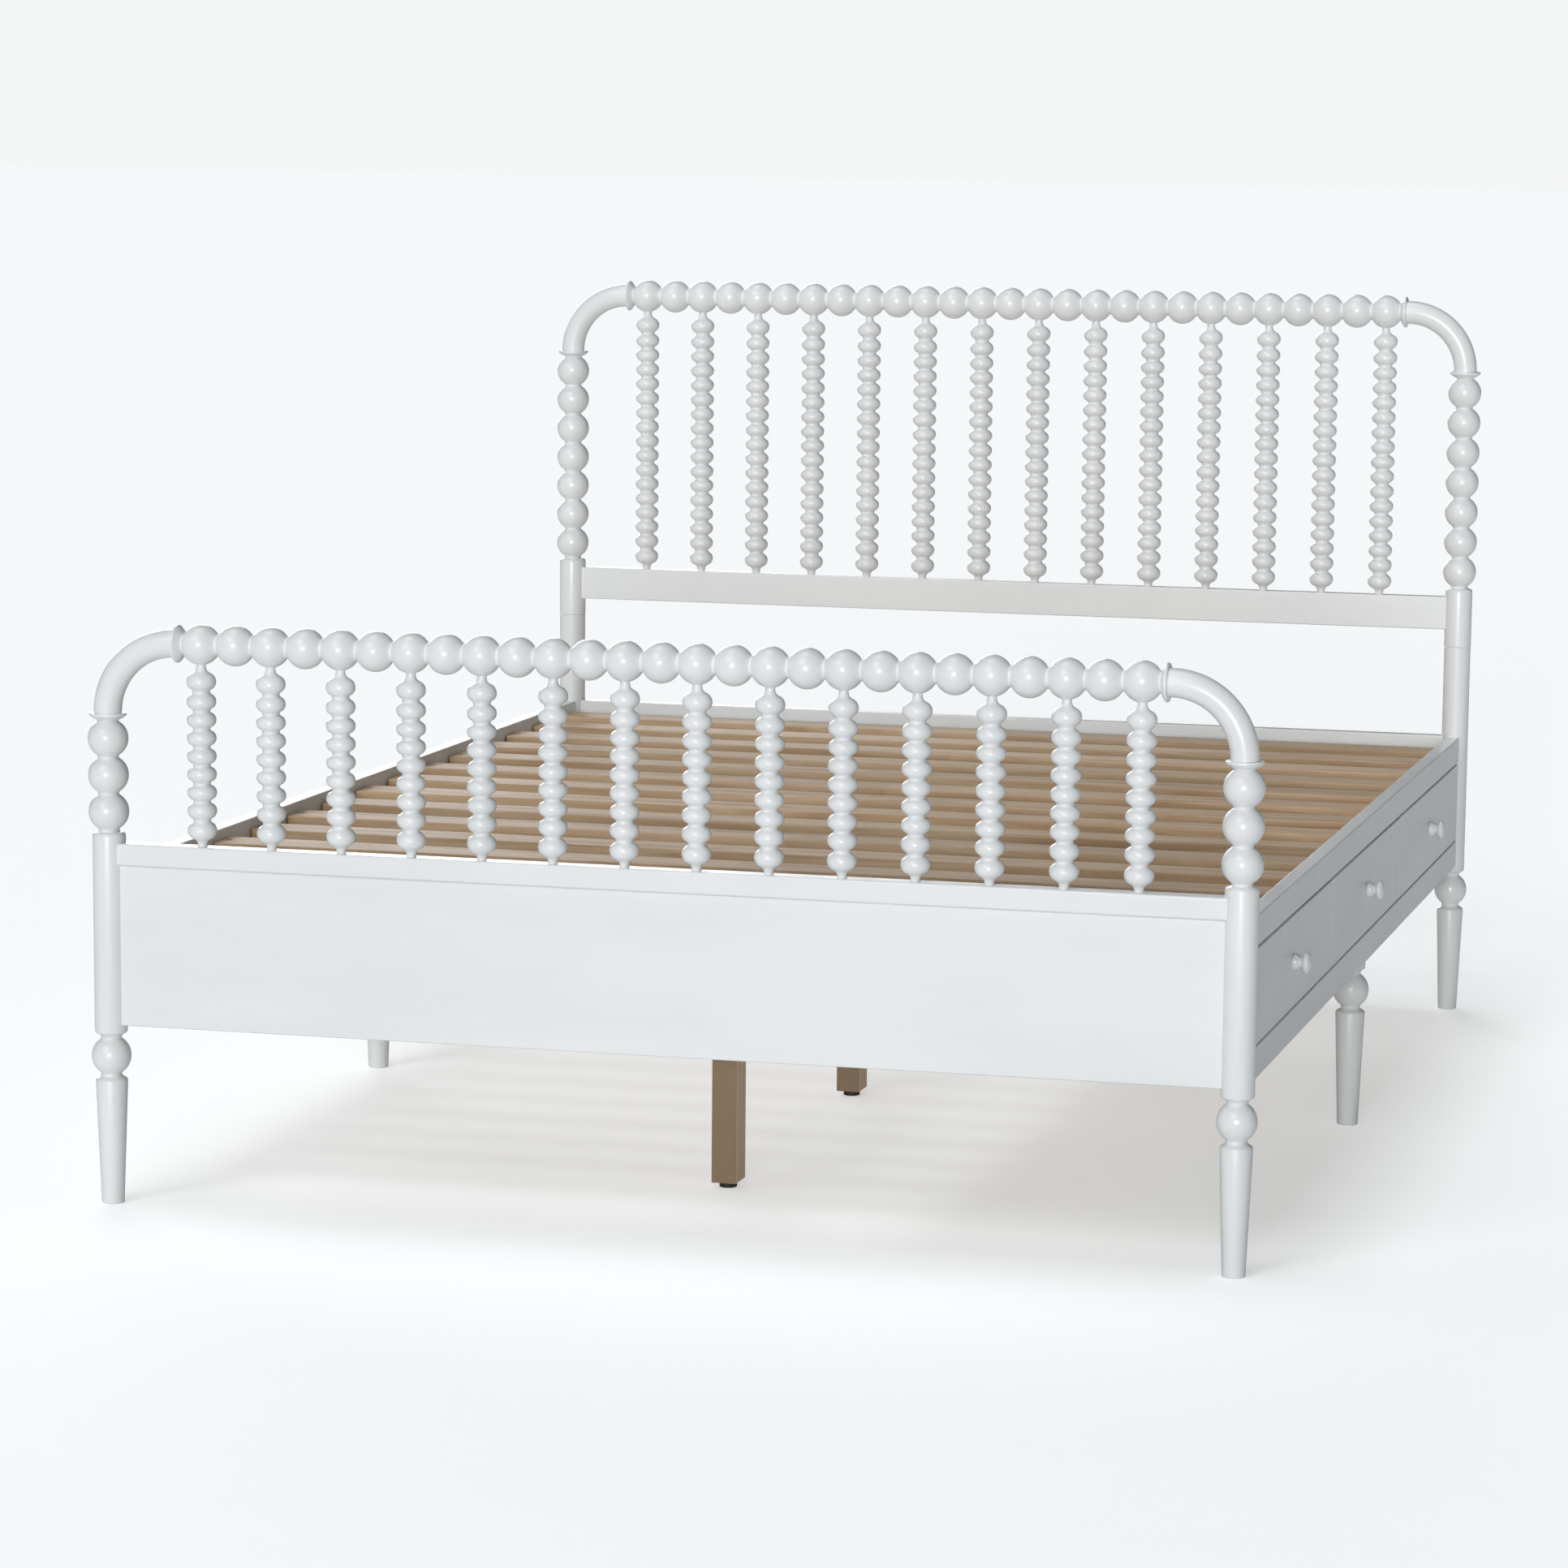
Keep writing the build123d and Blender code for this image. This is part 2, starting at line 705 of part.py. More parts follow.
section = screw_section(0, 0)
with BuildPart() as screw:
    with BuildSketch(turning_plane(0, 0)):
        add(section)
    revolve(axis=Axis.Z)

section = screw_section(joint_fit, hole_relief)
with BuildPart() as screw_hole:
    with BuildSketch(turning_plane(0, 0)):
        add(section)
    revolve(axis=Axis.Z)

with BuildPart() as slat_screws:
    with Locations(*[(s * ledger_middle, y, 0) for s in sides.values() for y in slat_spots]):
        add(screw.part)
save(slat_screws.part, "slat_screws")

with BuildPart() as slat:
    box_between(
        (-rail_inner + slat_side_gap, -slat_width / 2, slat_bottom),
        (rail_inner - slat_side_gap, slat_width / 2, slat_top),
    )
    fillet(slat.edges().filter_by(Axis.X), slat_edge_radius)
    with Locations((-ledger_middle, 0, 0), (ledger_middle, 0, 0)):
        add(screw_hole.part, mode=Mode.SUBTRACT)
with BuildPart() as slats:
    with Locations(*[(0, y, 0) for y in slat_spots]):
        add(slat.part)
save(slats.part, "slats")

with BuildPart() as slat_ledgers:
    box_between(
        (rail_inner - ledger_width, -ledger_end, ledger_bottom),
        (rail_inner, ledger_end, slat_bottom),
    )
    with Locations(*[(ledger_middle, y, 0) for y in slat_spots]):
        add(screw_hole.part, mode=Mode.SUBTRACT)
    mirror(about=Plane.YZ)
save(slat_ledgers.part, "slat_ledgers")

with BuildPart() as centre_beam:
    box_between(
        (-beam_width / 2, -panel_inner + hanger_sheet, beam_bottom),
        (beam_width / 2, panel_inner - hanger_sheet, slat_bottom),
    )
    leg_tops = [(0, y, beam_bottom) for y in leg_spots.values()]
    cut_bores(hanger_bolt_radius, hanger_bolt_length / 2, leg_tops)
save(centre_beam.part, "centre_beam")

for name, y in leg_spots.items():
    with BuildPart() as centre_leg:
        box_between(
            (-centre_leg_width / 2, y - centre_leg_depth / 2, glide_height),
            (centre_leg_width / 2, y + centre_leg_depth / 2, beam_bottom),
        )
        cut_bores(hanger_bolt_radius, hanger_bolt_length / 2, [(0, y, beam_bottom)])
        with Locations((0, y, glide_height)):
            Cylinder(socket_radius + joint_fit, 2 * (socket_length + hole_relief), mode=Mode.SUBTRACT)
            Cylinder(
                socket_flange_radius + joint_fit, 2 * socket_flange_height, mode=Mode.SUBTRACT
            )
    save(centre_leg.part, f"centre_leg_{name}")

    with BuildPart() as centre_glide:
        with Locations((0, y, 0)):
            Cylinder(
                glide_radius, glide_height, align=(Align.CENTER, Align.CENTER, Align.MIN)
            )
        fillet(centre_glide.edges().filter_by(GeomType.CIRCLE), glide_edge_radius)
        with Locations((0, y, glide_height)):
            Cylinder(
                glide_stud_radius, glide_stud_length, align=(Align.CENTER, Align.CENTER, Align.MIN)
            )
    save(centre_glide.part, f"centre_glide_{name}")

with BuildPart() as glide_sockets:
    with Locations(*[(0, y, glide_height) for y in leg_spots.values()]):
        Cylinder(socket_radius, socket_length, align=(Align.CENTER, Align.CENTER, Align.MIN))
        Cylinder(
            socket_flange_radius,
            socket_flange_height,
            align=(Align.CENTER, Align.CENTER, Align.MIN),
        )
        Cylinder(glide_stud_radius + thread_fit, 2 * socket_length + 1, mode=Mode.SUBTRACT)
save(glide_sockets.part, "glide_sockets")

with BuildPart() as hanger_bolts:
    with Locations(*[(side * post_x, post_y, head_seam) for side in sides.values()]):
        Cylinder(hanger_bolt_radius, hanger_bolt_length)
    with Locations(*[(0, y, beam_bottom) for y in leg_spots.values()]):
        Cylinder(hanger_bolt_radius, hanger_bolt_length)
save(hanger_bolts.part, "hanger_bolts")

# ------------------------------------------------------- the carcase of drawers
end_divider = front_span / 2 - divider_thickness / 2
inner_dividers = [(index + 0.5) * front_pitch for index in range(drawer_count - 1)]
middle_of_fronts = (drawer_count - 1) * front_pitch / 2
divider_spots = [-end_divider, *[spot - middle_of_fronts for spot in inner_dividers], end_divider]
bays = [
    (low + divider_thickness / 2, high - divider_thickness / 2)
    for low, high in zip(divider_spots, divider_spots[1:])
]

with BuildPart() as drawer_dividers:
    for spot in divider_spots:
        box_between(
            (back_rail_outer, spot - divider_thickness / 2, divider_bottom),
            (rail_inner, spot + divider_thickness / 2, ledger_bottom),
        )
    for end in ends.values():
        low_y, high_y = span(end * front_span / 2, end * (front_span / 2 - divider_thickness))
        box_between(
            (rail_inner - bracket_corner, low_y, divider_bottom),
            (rail_inner, high_y, bottom_rail_top),
            mode=Mode.SUBTRACT,
        )
save(drawer_dividers.part, "drawer_dividers")

with BuildPart() as drawer_back_rail:
    box_between(
        (back_rail_outer - back_rail_thickness, -panel_inner, divider_bottom),
        (back_rail_outer, panel_inner, ledger_bottom),
    )
save(drawer_back_rail.part, "drawer_back_rail")

groove_end = front_inner - groove_blind
runner_low = runner_axis - runner_height / 2
runner_high = runner_axis + runner_height / 2
stop_back = drawer_back + drawer_side_thickness + drawer_travel + stop_clearance
with BuildPart() as drawer_runners:
    for bay in bays:
        for face, way in zip(bay, (1, -1)):
            low_y, high_y = span(face, face + way * (drawer_side_gap + runner_reach))
            box_between(
                (back_rail_outer, low_y, runner_low),
                (groove_end - runner_end_gap, high_y, runner_high),
            )
save(drawer_runners.part, "drawer_runners")

with BuildPart() as drawer_stops:
    for bay in bays:
        for face, way in zip(bay, (1, -1)):
            low_y, high_y = span(face, face + way * stop_reach)
            box_between(
                (stop_back, low_y, drawer_side_top + stop_side_gap),
                (stop_back + stop_length, high_y, ledger_bottom),
            )
save(drawer_stops.part, "drawer_stops")


# ------------------------------------------------------------------ the drawers
def knob_section():
    """Half section of a knob: tenon, rounded base, neck, and a domed head."""
    rise = knob_length - knob_head_height
    flat = knob_head_radius - knob_head_round
    dome_radius = (flat**2 + rise**2 - knob_head_round**2) / (2 * (rise - knob_head_round))
    slope = knob_head_round / (dome_radius - knob_head_round)
    dome_centre = knob_length - dome_radius
    dome_edge = (flat * (1 + slope), knob_head_height + (knob_head_height - dome_centre) * slope)
    base_edge = (knob_base_radius, knob_base_height - knob_base_round)
    base_top = (knob_base_radius - knob_base_round, knob_base_height)
    neck = (knob_neck_radius, knob_neck_height)
    head = (knob_head_radius, knob_head_height)
    with BuildSketch() as section:
        with BuildLine():
            Polyline(
                (0, knob_length),
                (0, -knob_tenon_length),
                (knob_tenon_radius, -knob_tenon_length),
                (knob_tenon_radius, 0),
                (knob_base_radius, 0),
                base_edge,
            )
            TangentArc(base_edge, base_top, tangent=(0, 1))
            TangentArc(base_top, neck, tangent=(0, -1), tangent_from_first=False)
            for arc in swell(neck, head, onion_softness):
                add(arc)
            TangentArc(head, dome_edge, tangent=(0, 1))
            TangentArc(dome_edge, (0, knob_length), tangent=(1, 0), tangent_from_first=False)
        make_face()
    return section.sketch


for index, name in enumerate(drawer_names):
    front_y = index * front_pitch - middle_of_fronts
    knob_spot = (rail_outer, front_y, (front_bottom + front_top) / 2)
    outer_low, outer_high = bays[index][0] + drawer_side_gap, bays[index][1] - drawer_side_gap
    inner_low, inner_high = outer_low + drawer_side_thickness, outer_high - drawer_side_thickness
    panel_low = (
        drawer_back + drawer_side_thickness - drawer_bottom_groove,
        inner_low - drawer_bottom_groove,
        drawer_bottom_underside,
    )
    panel_high = (
        front_inner + drawer_bottom_groove,
        inner_high + drawer_bottom_groove,
        drawer_bottom_underside + drawer_bottom_thickness,
    )

    with BuildPart() as drawer_front:
        box_between(
            (front_inner, front_y - front_width / 2, front_bottom),
            (rail_outer, front_y + front_width / 2, front_top),
        )
        outer_face = drawer_front.faces().sort_by(Axis.X)[-1]
        fillet(outer_face.edges(), front_edge_radius)
        box_between(panel_low, panel_high, mode=Mode.SUBTRACT)
        cut_bores(knob_tenon_radius, knob_tenon_length, [knob_spot], along_x)
    save(drawer_front.part, f"drawer_{name}_front")

    with BuildPart() as drawer_sides:
        for inner, outer in ((inner_low, outer_low), (inner_high, outer_high)):
            low_y, high_y = span(inner, outer)
            box_between(
                (drawer_back, low_y, drawer_side_bottom), (front_inner, high_y, drawer_side_top)
            )
        for outer, way in ((outer_low, 1), (outer_high, -1)):
            low_y, high_y = span(outer, outer + way * groove_depth)
            box_between(
                (drawer_back, low_y, runner_low - runner_bottom_gap),
                (groove_end, high_y, runner_high + runner_top_gap),
                mode=Mode.SUBTRACT,
            )
        box_between(panel_low, panel_high, mode=Mode.SUBTRACT)
    save(drawer_sides.part, f"drawer_{name}_sides")

    with BuildPart() as drawer_back_board:
        box_between(
            (drawer_back, inner_low, drawer_side_bottom),
            (drawer_back + drawer_side_thickness, inner_high, drawer_back_top),
        )
        box_between(panel_low, panel_high, mode=Mode.SUBTRACT)
    save(drawer_back_board.part, f"drawer_{name}_back")

    with BuildPart() as drawer_bottom:
        box_between(panel_low, panel_high)
    save(drawer_bottom.part, f"drawer_{name}_bottom")

    section = knob_section()
    with BuildPart() as drawer_knob:
        with BuildSketch(Plane(origin=knob_spot, x_dir=(0, 0, 1), z_dir=(0, 1, 0))):
            add(section)
        revolve(axis=Axis(knob_spot, (1, 0, 0)))
    save(drawer_knob.part, f"drawer_{name}_knob")
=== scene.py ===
"""A white bobbin-turned bed frame: its turnings, boards and finishes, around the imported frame.

Every piece is made in metres in the frame's own axes: X across the bed to its drawers, Y along
it to the headboard, Z up. Places come from the frame's boxes, and the classes below hold only
the sizes of a turner's details.
"""

import logging
import math
from dataclasses import dataclass, field
from enum import Enum
from typing import Optional

import bmesh
import bpy
from mathutils import Matrix, Vector

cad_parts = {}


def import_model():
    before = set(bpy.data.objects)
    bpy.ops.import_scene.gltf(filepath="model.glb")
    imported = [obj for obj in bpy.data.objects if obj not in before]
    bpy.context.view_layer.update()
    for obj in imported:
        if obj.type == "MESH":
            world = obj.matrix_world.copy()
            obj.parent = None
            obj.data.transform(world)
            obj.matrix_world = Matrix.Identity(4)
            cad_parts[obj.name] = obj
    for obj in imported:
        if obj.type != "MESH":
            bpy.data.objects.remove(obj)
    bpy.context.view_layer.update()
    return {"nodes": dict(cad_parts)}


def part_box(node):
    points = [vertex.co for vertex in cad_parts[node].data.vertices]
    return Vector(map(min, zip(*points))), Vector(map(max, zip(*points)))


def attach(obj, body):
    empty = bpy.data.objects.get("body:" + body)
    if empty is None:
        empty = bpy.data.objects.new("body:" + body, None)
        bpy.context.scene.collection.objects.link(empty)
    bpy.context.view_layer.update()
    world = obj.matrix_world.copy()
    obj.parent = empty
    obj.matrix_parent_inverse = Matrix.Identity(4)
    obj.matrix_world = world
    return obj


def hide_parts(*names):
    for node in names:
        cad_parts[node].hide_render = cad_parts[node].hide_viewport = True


LOG = logging.getLogger("bed_frame")
MM = 0.001
RADIUS_ATTRIBUTE = "turning_radius"
SHARP_ANGLE = math.radians(38)
TURNING_FACETS = 44             # sides of a large turning
POST_FACETS = 40
SPINDLE_FACETS = 28
BREAK_SHARE = 0.3               # the middle cut of a broken edge, as a share of the break
FLAT_NORMAL = 0.999             # a face whose normal is this near an axis stays flat
NOISE_LOW, NOISE_HIGH = 0.3, 0.7        # the range that holds most of a noise pattern
COLOUR_A, COLOUR_B, MIXED_COLOUR = 6, 7, 2      # the colour sockets of a Mix node

Tone = tuple[float, float, float]
Place = tuple[float, float, float]
Pair = tuple[float, float]


class Grain(Enum):
    """The way a board's or a turning's grain runs."""

    ACROSS = 0
    ALONG = 1
    UP = 2


class Slot(Enum):
    """The record's material slots named with each new piece; nothing reads them."""

    PAINT = "painted_wood"
    PINE = "slat_wood"
    VENEER = "laminated_wood"
    PLASTIC = "black_plastic"


# ------------------------------------------------------------------ finishes


@dataclass(frozen=True)
class Pattern:
    """A noise pattern: how fine it is, its layers, its length along the grain, and its swirl."""

    scale: float
    detail: float = 2.0
    stretch: float = 1.0
    swirl: float = 0.0


class FinishSheet:
    """The node tree of one finish, with short calls to fill it."""

    def __init__(self, name: str) -> None:
        """Start a material that holds one shader and its output.

        Args:
            name: the material's name.
        """
        self.material = bpy.data.materials.new(name)
        self.material.use_nodes = True
        self.tree = self.material.node_tree
        self.shader = self.tree.nodes["Principled BSDF"]

    def add(self, kind: str, **settings: object) -> bpy.types.Node:
        """Add a node and set its own properties.

        Args:
            kind: the node's type name.
            settings: properties of the node, by name.

        Returns:
            The new node.
        """
        node = self.tree.nodes.new(kind)
        for name, value in settings.items():
            setattr(node, name, value)
        return node

    def link(self, source: bpy.types.NodeSocket, target: bpy.types.NodeSocket) -> None:
        """Link two sockets."""
        self.tree.links.new(source, target)

    def grain_places(self, grain: Grain, stretch: float) -> bpy.types.NodeSocket:
        """Object coordinates, shrunk along the grain so that a pattern runs long that way.

        Args:
            grain: the way the grain runs.
            stretch: how many times longer the pattern is that way.

        Returns:
            The places as a vector socket.
        """
        places = self.add("ShaderNodeTexCoord")
        mapping = self.add("ShaderNodeMapping")
        scale = [1.0, 1.0, 1.0]
        scale[grain.value] = 1.0 / stretch
        mapping.inputs["Scale"].default_value = scale
        self.link(places.outputs["Object"], mapping.inputs["Vector"])
        return mapping.outputs["Vector"]

    def noise(self, grain: Grain, pattern: Pattern) -> bpy.types.NodeSocket:
        """A noise pattern that runs with the grain.

        Args:
            grain: the way the grain runs.
            pattern: the pattern's sizes.

        Returns:
            The pattern's factor.
        """
        node = self.add("ShaderNodeTexNoise")
        node.inputs["Scale"].default_value = pattern.scale
        node.inputs["Detail"].default_value = pattern.detail
        node.inputs["Distortion"].default_value = pattern.swirl
        self.link(self.grain_places(grain, pattern.stretch), node.inputs["Vector"])
        return node.outputs["Fac"]

    def tint(
        self, factor: bpy.types.NodeSocket, places: tuple[float, ...], tones: tuple[Tone, ...]
    ) -> bpy.types.NodeSocket:
        """Turn a factor into a colour through these stops.

        Args:
            factor: the factor to read.
            places: each stop's place, in order.
            tones: each stop's colour.

        Returns:
            The colour.
        """
        ramp = self.add("ShaderNodeValToRGB")
        elements = ramp.color_ramp.elements
        while len(elements) < len(places):
            elements.new(0.5)
        for element, place, tone in zip(elements, places, tones):
            element.position = place
            element.color = (*tone, 1.0)
        self.link(factor, ramp.inputs["Fac"])
        return ramp.outputs["Color"]

    def spread(self, factor: bpy.types.NodeSocket, low: float, high: float) -> bpy.types.NodeSocket:
        """Map the range that holds most of a noise pattern to this one.

        Args:
            factor: the factor to read.
            low: what the low end becomes.
            high: what the high end becomes.

        Returns:
            The mapped value.
        """
        node = self.add("ShaderNodeMapRange")
        node.inputs["From Min"].default_value = NOISE_LOW
        node.inputs["From Max"].default_value = NOISE_HIGH
        node.inputs["To Min"].default_value = low
        node.inputs["To Max"].default_value = high
        self.link(factor, node.inputs["Value"])
        return node.outputs["Result"]

    def bump(self, height: bpy.types.NodeSocket, strength: float, depth: float) -> None:
        """Raise the surface by this height pattern, chained after any earlier bump.

        Args:
            height: the pattern.
            strength: the share of it that shows.
            depth: its full height in metres.
        """
        node = self.add("ShaderNodeBump")
        node.inputs["Strength"].default_value = strength
        node.inputs["Distance"].default_value = depth
        self.link(height, node.inputs["Height"])
        if self.shader.inputs["Normal"].is_linked:
            self.link(self.shader.inputs["Normal"].links[0].from_socket, node.inputs["Normal"])
        self.link(node.outputs["Normal"], self.shader.inputs["Normal"])


@dataclass(frozen=True)
class PaintedWood:
    """Satin white paint over wood whose grain just shows through the film."""

    grain: Grain
    shade: Tone = (0.785, 0.805, 0.812)
    light: Tone = (0.835, 0.853, 0.858)
    clouds: Pattern = Pattern(9.0, 3.0, stretch=3.0)
    cloud_places: Pair = (0.3, 0.62)
    streaks: Pattern = Pattern(260.0, 4.0, stretch=14.0, swirl=0.3)
    streak_relief: Pair = (0.22, 0.0003)
    film: Pattern = Pattern(620.0)
    film_relief: Pair = (0.10, 0.0002)
    roughness: Pair = (0.30, 0.42)
    coat: float = 0.3
    coat_roughness: float = 0.18

    def build(self) -> bpy.types.Material:
        """The painted finish as a material.

        Returns:
            The material.
        """
        sheet = FinishSheet(f"white_paint_{self.grain.name.lower()}")
        cloudy = sheet.noise(self.grain, self.clouds)
        colour = sheet.tint(cloudy, self.cloud_places, (self.shade, self.light))
        sheet.link(colour, sheet.shader.inputs["Base Color"])
        streaks = sheet.noise(self.grain, self.streaks)
        sheet.link(sheet.spread(streaks, *self.roughness), sheet.shader.inputs["Roughness"])
        sheet.bump(sheet.noise(self.grain, self.film), *self.film_relief)
        sheet.bump(streaks, *self.streak_relief)
        sheet.shader.inputs["Coat Weight"].default_value = self.coat
        sheet.shader.inputs["Coat Roughness"].default_value = self.coat_roughness
        return sheet.material


@dataclass(frozen=True)
class BareWood:
    """Planed, unpainted wood with long figure, fine pores and a tone for each board."""

    name: str
    grain: Grain
    early: Tone
    late: Tone
    figure: Pattern = Pattern(34.0, 5.0, stretch=18.0, swirl=1.2)
    figure_places: tuple[float, float, float] = (0.34, 0.52, 0.7)
    pores: Pattern = Pattern(420.0, 3.0, stretch=20.0)
    relief: Pair = (0.3, 0.0003)
    roughness: Pair = (0.48, 0.66)
    board_pitch: float = 0.12
    board_length: float = 10.0
    board_tones: Pair = (0.86, 1.1)

    def build(self) -> bpy.types.Material:
        """The bare wood as a material.

        Returns:
            The material.
        """
        sheet = FinishSheet(self.name)
        figure = sheet.noise(self.grain, self.figure)
        colour = sheet.tint(figure, self.figure_places, (self.late, self.early, self.late))
        places = sheet.add("ShaderNodeTexCoord")
        cell = sheet.add("ShaderNodeVectorMath", operation="SNAP")
        cell.inputs[1].default_value = (self.board_length, self.board_pitch, self.board_length)
        sheet.link(places.outputs["Object"], cell.inputs[0])
        chance = sheet.add("ShaderNodeTexWhiteNoise", noise_dimensions="3D")
        sheet.link(cell.outputs["Vector"], chance.inputs["Vector"])
        tone = sheet.add("ShaderNodeHueSaturation")
        brighter = sheet.add("ShaderNodeMapRange")
        brighter.inputs["To Min"].default_value, brighter.inputs["To Max"].default_value = (
            self.board_tones
        )
        sheet.link(chance.outputs["Value"], brighter.inputs["Value"])
        sheet.link(brighter.outputs["Result"], tone.inputs["Value"])
        sheet.link(colour, tone.inputs["Color"])
        sheet.link(tone.outputs["Color"], sheet.shader.inputs["Base Color"])
        pores = sheet.noise(self.grain, self.pores)
        sheet.link(sheet.spread(pores, *self.roughness), sheet.shader.inputs["Roughness"])
        sheet.bump(pores, *self.relief)
        return sheet.material


@dataclass(frozen=True)
class LaminatedVeneer:
    """A post of thick veneers: upright grain, and dark glue lines on the sides."""

    spacing: float = 0.7
    ply: float = 0.049 / 3
    face: Tone = (0.90, 0.67, 0.46)
    dark: Tone = (0.77, 0.56, 0.37)
    glue: Tone = (0.26, 0.175, 0.105)
    glue_edge: Pair = (0.0003, 0.0009)
    figure: Pattern = Pattern(60.0, 5.0, stretch=9.0, swirl=0.8)
    figure_places: Pair = (0.32, 0.6)
    relief: Pair = (0.3, 0.0003)
    roughness: Pair = (0.5, 0.68)

    def build(self) -> bpy.types.Material:
        """The laminated wood as a material.

        Returns:
            The material.
        """
        sheet = FinishSheet("laminated_veneer")
        figure = sheet.noise(Grain.UP, self.figure)
        wood = sheet.tint(figure, self.figure_places, (self.dark, self.face))
        places = sheet.add("ShaderNodeTexCoord")
        axes = sheet.add("ShaderNodeSeparateXYZ")
        sheet.link(places.outputs["Object"], axes.inputs["Vector"])
        leg = sheet.add("ShaderNodeMath", operation="WRAP")
        leg.inputs[1].default_value = self.spacing / 2
        leg.inputs[2].default_value = -self.spacing / 2
        sheet.link(axes.outputs["Y"], leg.inputs[0])
        shifted = sheet.add("ShaderNodeMath", operation="ADD")
        shifted.inputs[1].default_value = self.ply * 0.5
        sheet.link(leg.outputs[0], shifted.inputs[0])
        line = sheet.add("ShaderNodeMath", operation="PINGPONG")
        line.inputs[1].default_value = self.ply / 2
        sheet.link(shifted.outputs[0], line.inputs[0])
        near = sheet.add("ShaderNodeMapRange")
        near.inputs["From Min"].default_value, near.inputs["From Max"].default_value = self.glue_edge
        near.inputs["To Min"].default_value = 1.0
        near.inputs["To Max"].default_value = 0.0
        sheet.link(line.outputs[0], near.inputs["Value"])
        mix = sheet.add("ShaderNodeMix", data_type="RGBA")
        sheet.link(near.outputs["Result"], mix.inputs["Factor"])
        sheet.link(wood, mix.inputs[COLOUR_A])
        mix.inputs[COLOUR_B].default_value = (*self.glue, 1.0)
        sheet.link(mix.outputs[MIXED_COLOUR], sheet.shader.inputs["Base Color"])
        sheet.link(sheet.spread(figure, *self.roughness), sheet.shader.inputs["Roughness"])
        sheet.bump(figure, *self.relief)
        return sheet.material


@dataclass(frozen=True)
class ZincSteel:
    """Zinc-plated steel: grey metal with a mottled sheen and fine rolling marks."""

    dull: Tone = (0.48, 0.49, 0.51)
    bright: Tone = (0.66, 0.67, 0.69)
    mottle: Pattern = Pattern(160.0, 3.0)
    mottle_places: Pair = (0.35, 0.65)
    marks: Pattern = Pattern(900.0, stretch=8.0)
    relief: Pair = (0.1, 0.0001)
    roughness: Pair = (0.28, 0.46)

    def build(self) -> bpy.types.Material:
        """The plated steel as a material.

        Returns:
            The material.
        """
        sheet = FinishSheet("zinc_plated_steel")
        mottle = sheet.noise(Grain.ALONG, self.mottle)
        colour = sheet.tint(mottle, self.mottle_places, (self.dull, self.bright))
        sheet.link(colour, sheet.shader.inputs["Base Color"])
        sheet.shader.inputs["Metallic"].default_value = 1.0
        sheet.link(sheet.spread(mottle, *self.roughness), sheet.shader.inputs["Roughness"])
        sheet.bump(sheet.noise(Grain.ALONG, self.marks), *self.relief)
        return sheet.material


@dataclass(frozen=True)
class BlackPlastic:
    """Matte moulded plastic with a fine spark-eroded texture."""

    deep: Tone = (0.012, 0.012, 0.013)
    worn: Tone = (0.03, 0.03, 0.031)
    mottle: Pattern = Pattern(60.0)
    mottle_places: Pair = (0.3, 0.7)
    texture: Pattern = Pattern(1500.0)
    relief: Pair = (0.25, 0.0001)
    roughness: Pair = (0.5, 0.65)

    def build(self) -> bpy.types.Material:
        """The moulded plastic as a material.

        Returns:
            The material.
        """
        sheet = FinishSheet("black_moulded_plastic")
        mottle = sheet.noise(Grain.UP, self.mottle)
        colour = sheet.tint(mottle, self.mottle_places, (self.deep, self.worn))
        sheet.link(colour, sheet.shader.inputs["Base Color"])
        texture = sheet.noise(Grain.UP, self.texture)
        sheet.link(sheet.spread(texture, *self.roughness), sheet.shader.inputs["Roughness"])
        sheet.bump(texture, *self.relief)
        return sheet.material


class Finishes:
    """Every finish of the bed, each built once."""

    pine_tones: tuple[Tone, Tone] = ((0.60, 0.43, 0.27), (0.45, 0.29, 0.16))
    birch_tones: tuple[Tone, Tone] = ((0.70, 0.58, 0.42), (0.60, 0.47, 0.32))

    def __init__(self) -> None:
        """Build the finishes."""
        self.paint = {grain: PaintedWood(grain).build() for grain in Grain}
        self.pine = self.both_ways("bare_pine", self.pine_tones)
        self.birch = self.both_ways("lacquered_birch", self.birch_tones)
        self.veneer = LaminatedVeneer().build()
        self.steel = ZincSteel().build()
        self.plastic = BlackPlastic().build()

    @staticmethod
    def both_ways(name: str, tones: tuple[Tone, Tone]) -> dict[Grain, bpy.types.Material]:
        """One bare wood with its grain across the bed, and again with it along the bed.

        Args:
            name: the wood's name.
            tones: its early and late wood.

        Returns:
            The two materials by their grain.
        """
        return {
            grain: BareWood(f"{name}_{grain.name.lower()}", grain, *tones).build()
            for grain in (Grain.ACROSS, Grain.ALONG)
        }

    def dress_frame_node(self, node: bpy.types.Object, material: bpy.types.Material) -> None:
        """Give a node of the frame this finish in every one of its slots.

        Args:
            node: the node's object.
            material: its finish.
        """
        if not node.data.materials:
            node.data.materials.append(material)
        for slot in node.material_slots:
            slot.material = material


# ------------------------------------------------------------- turned outlines


@dataclass(frozen=True)
class Cut:
    """A station of a turning's outline; without softness it is reached by a straight cut."""

    radius: float
    height: float
    softness: Optional[float] = None


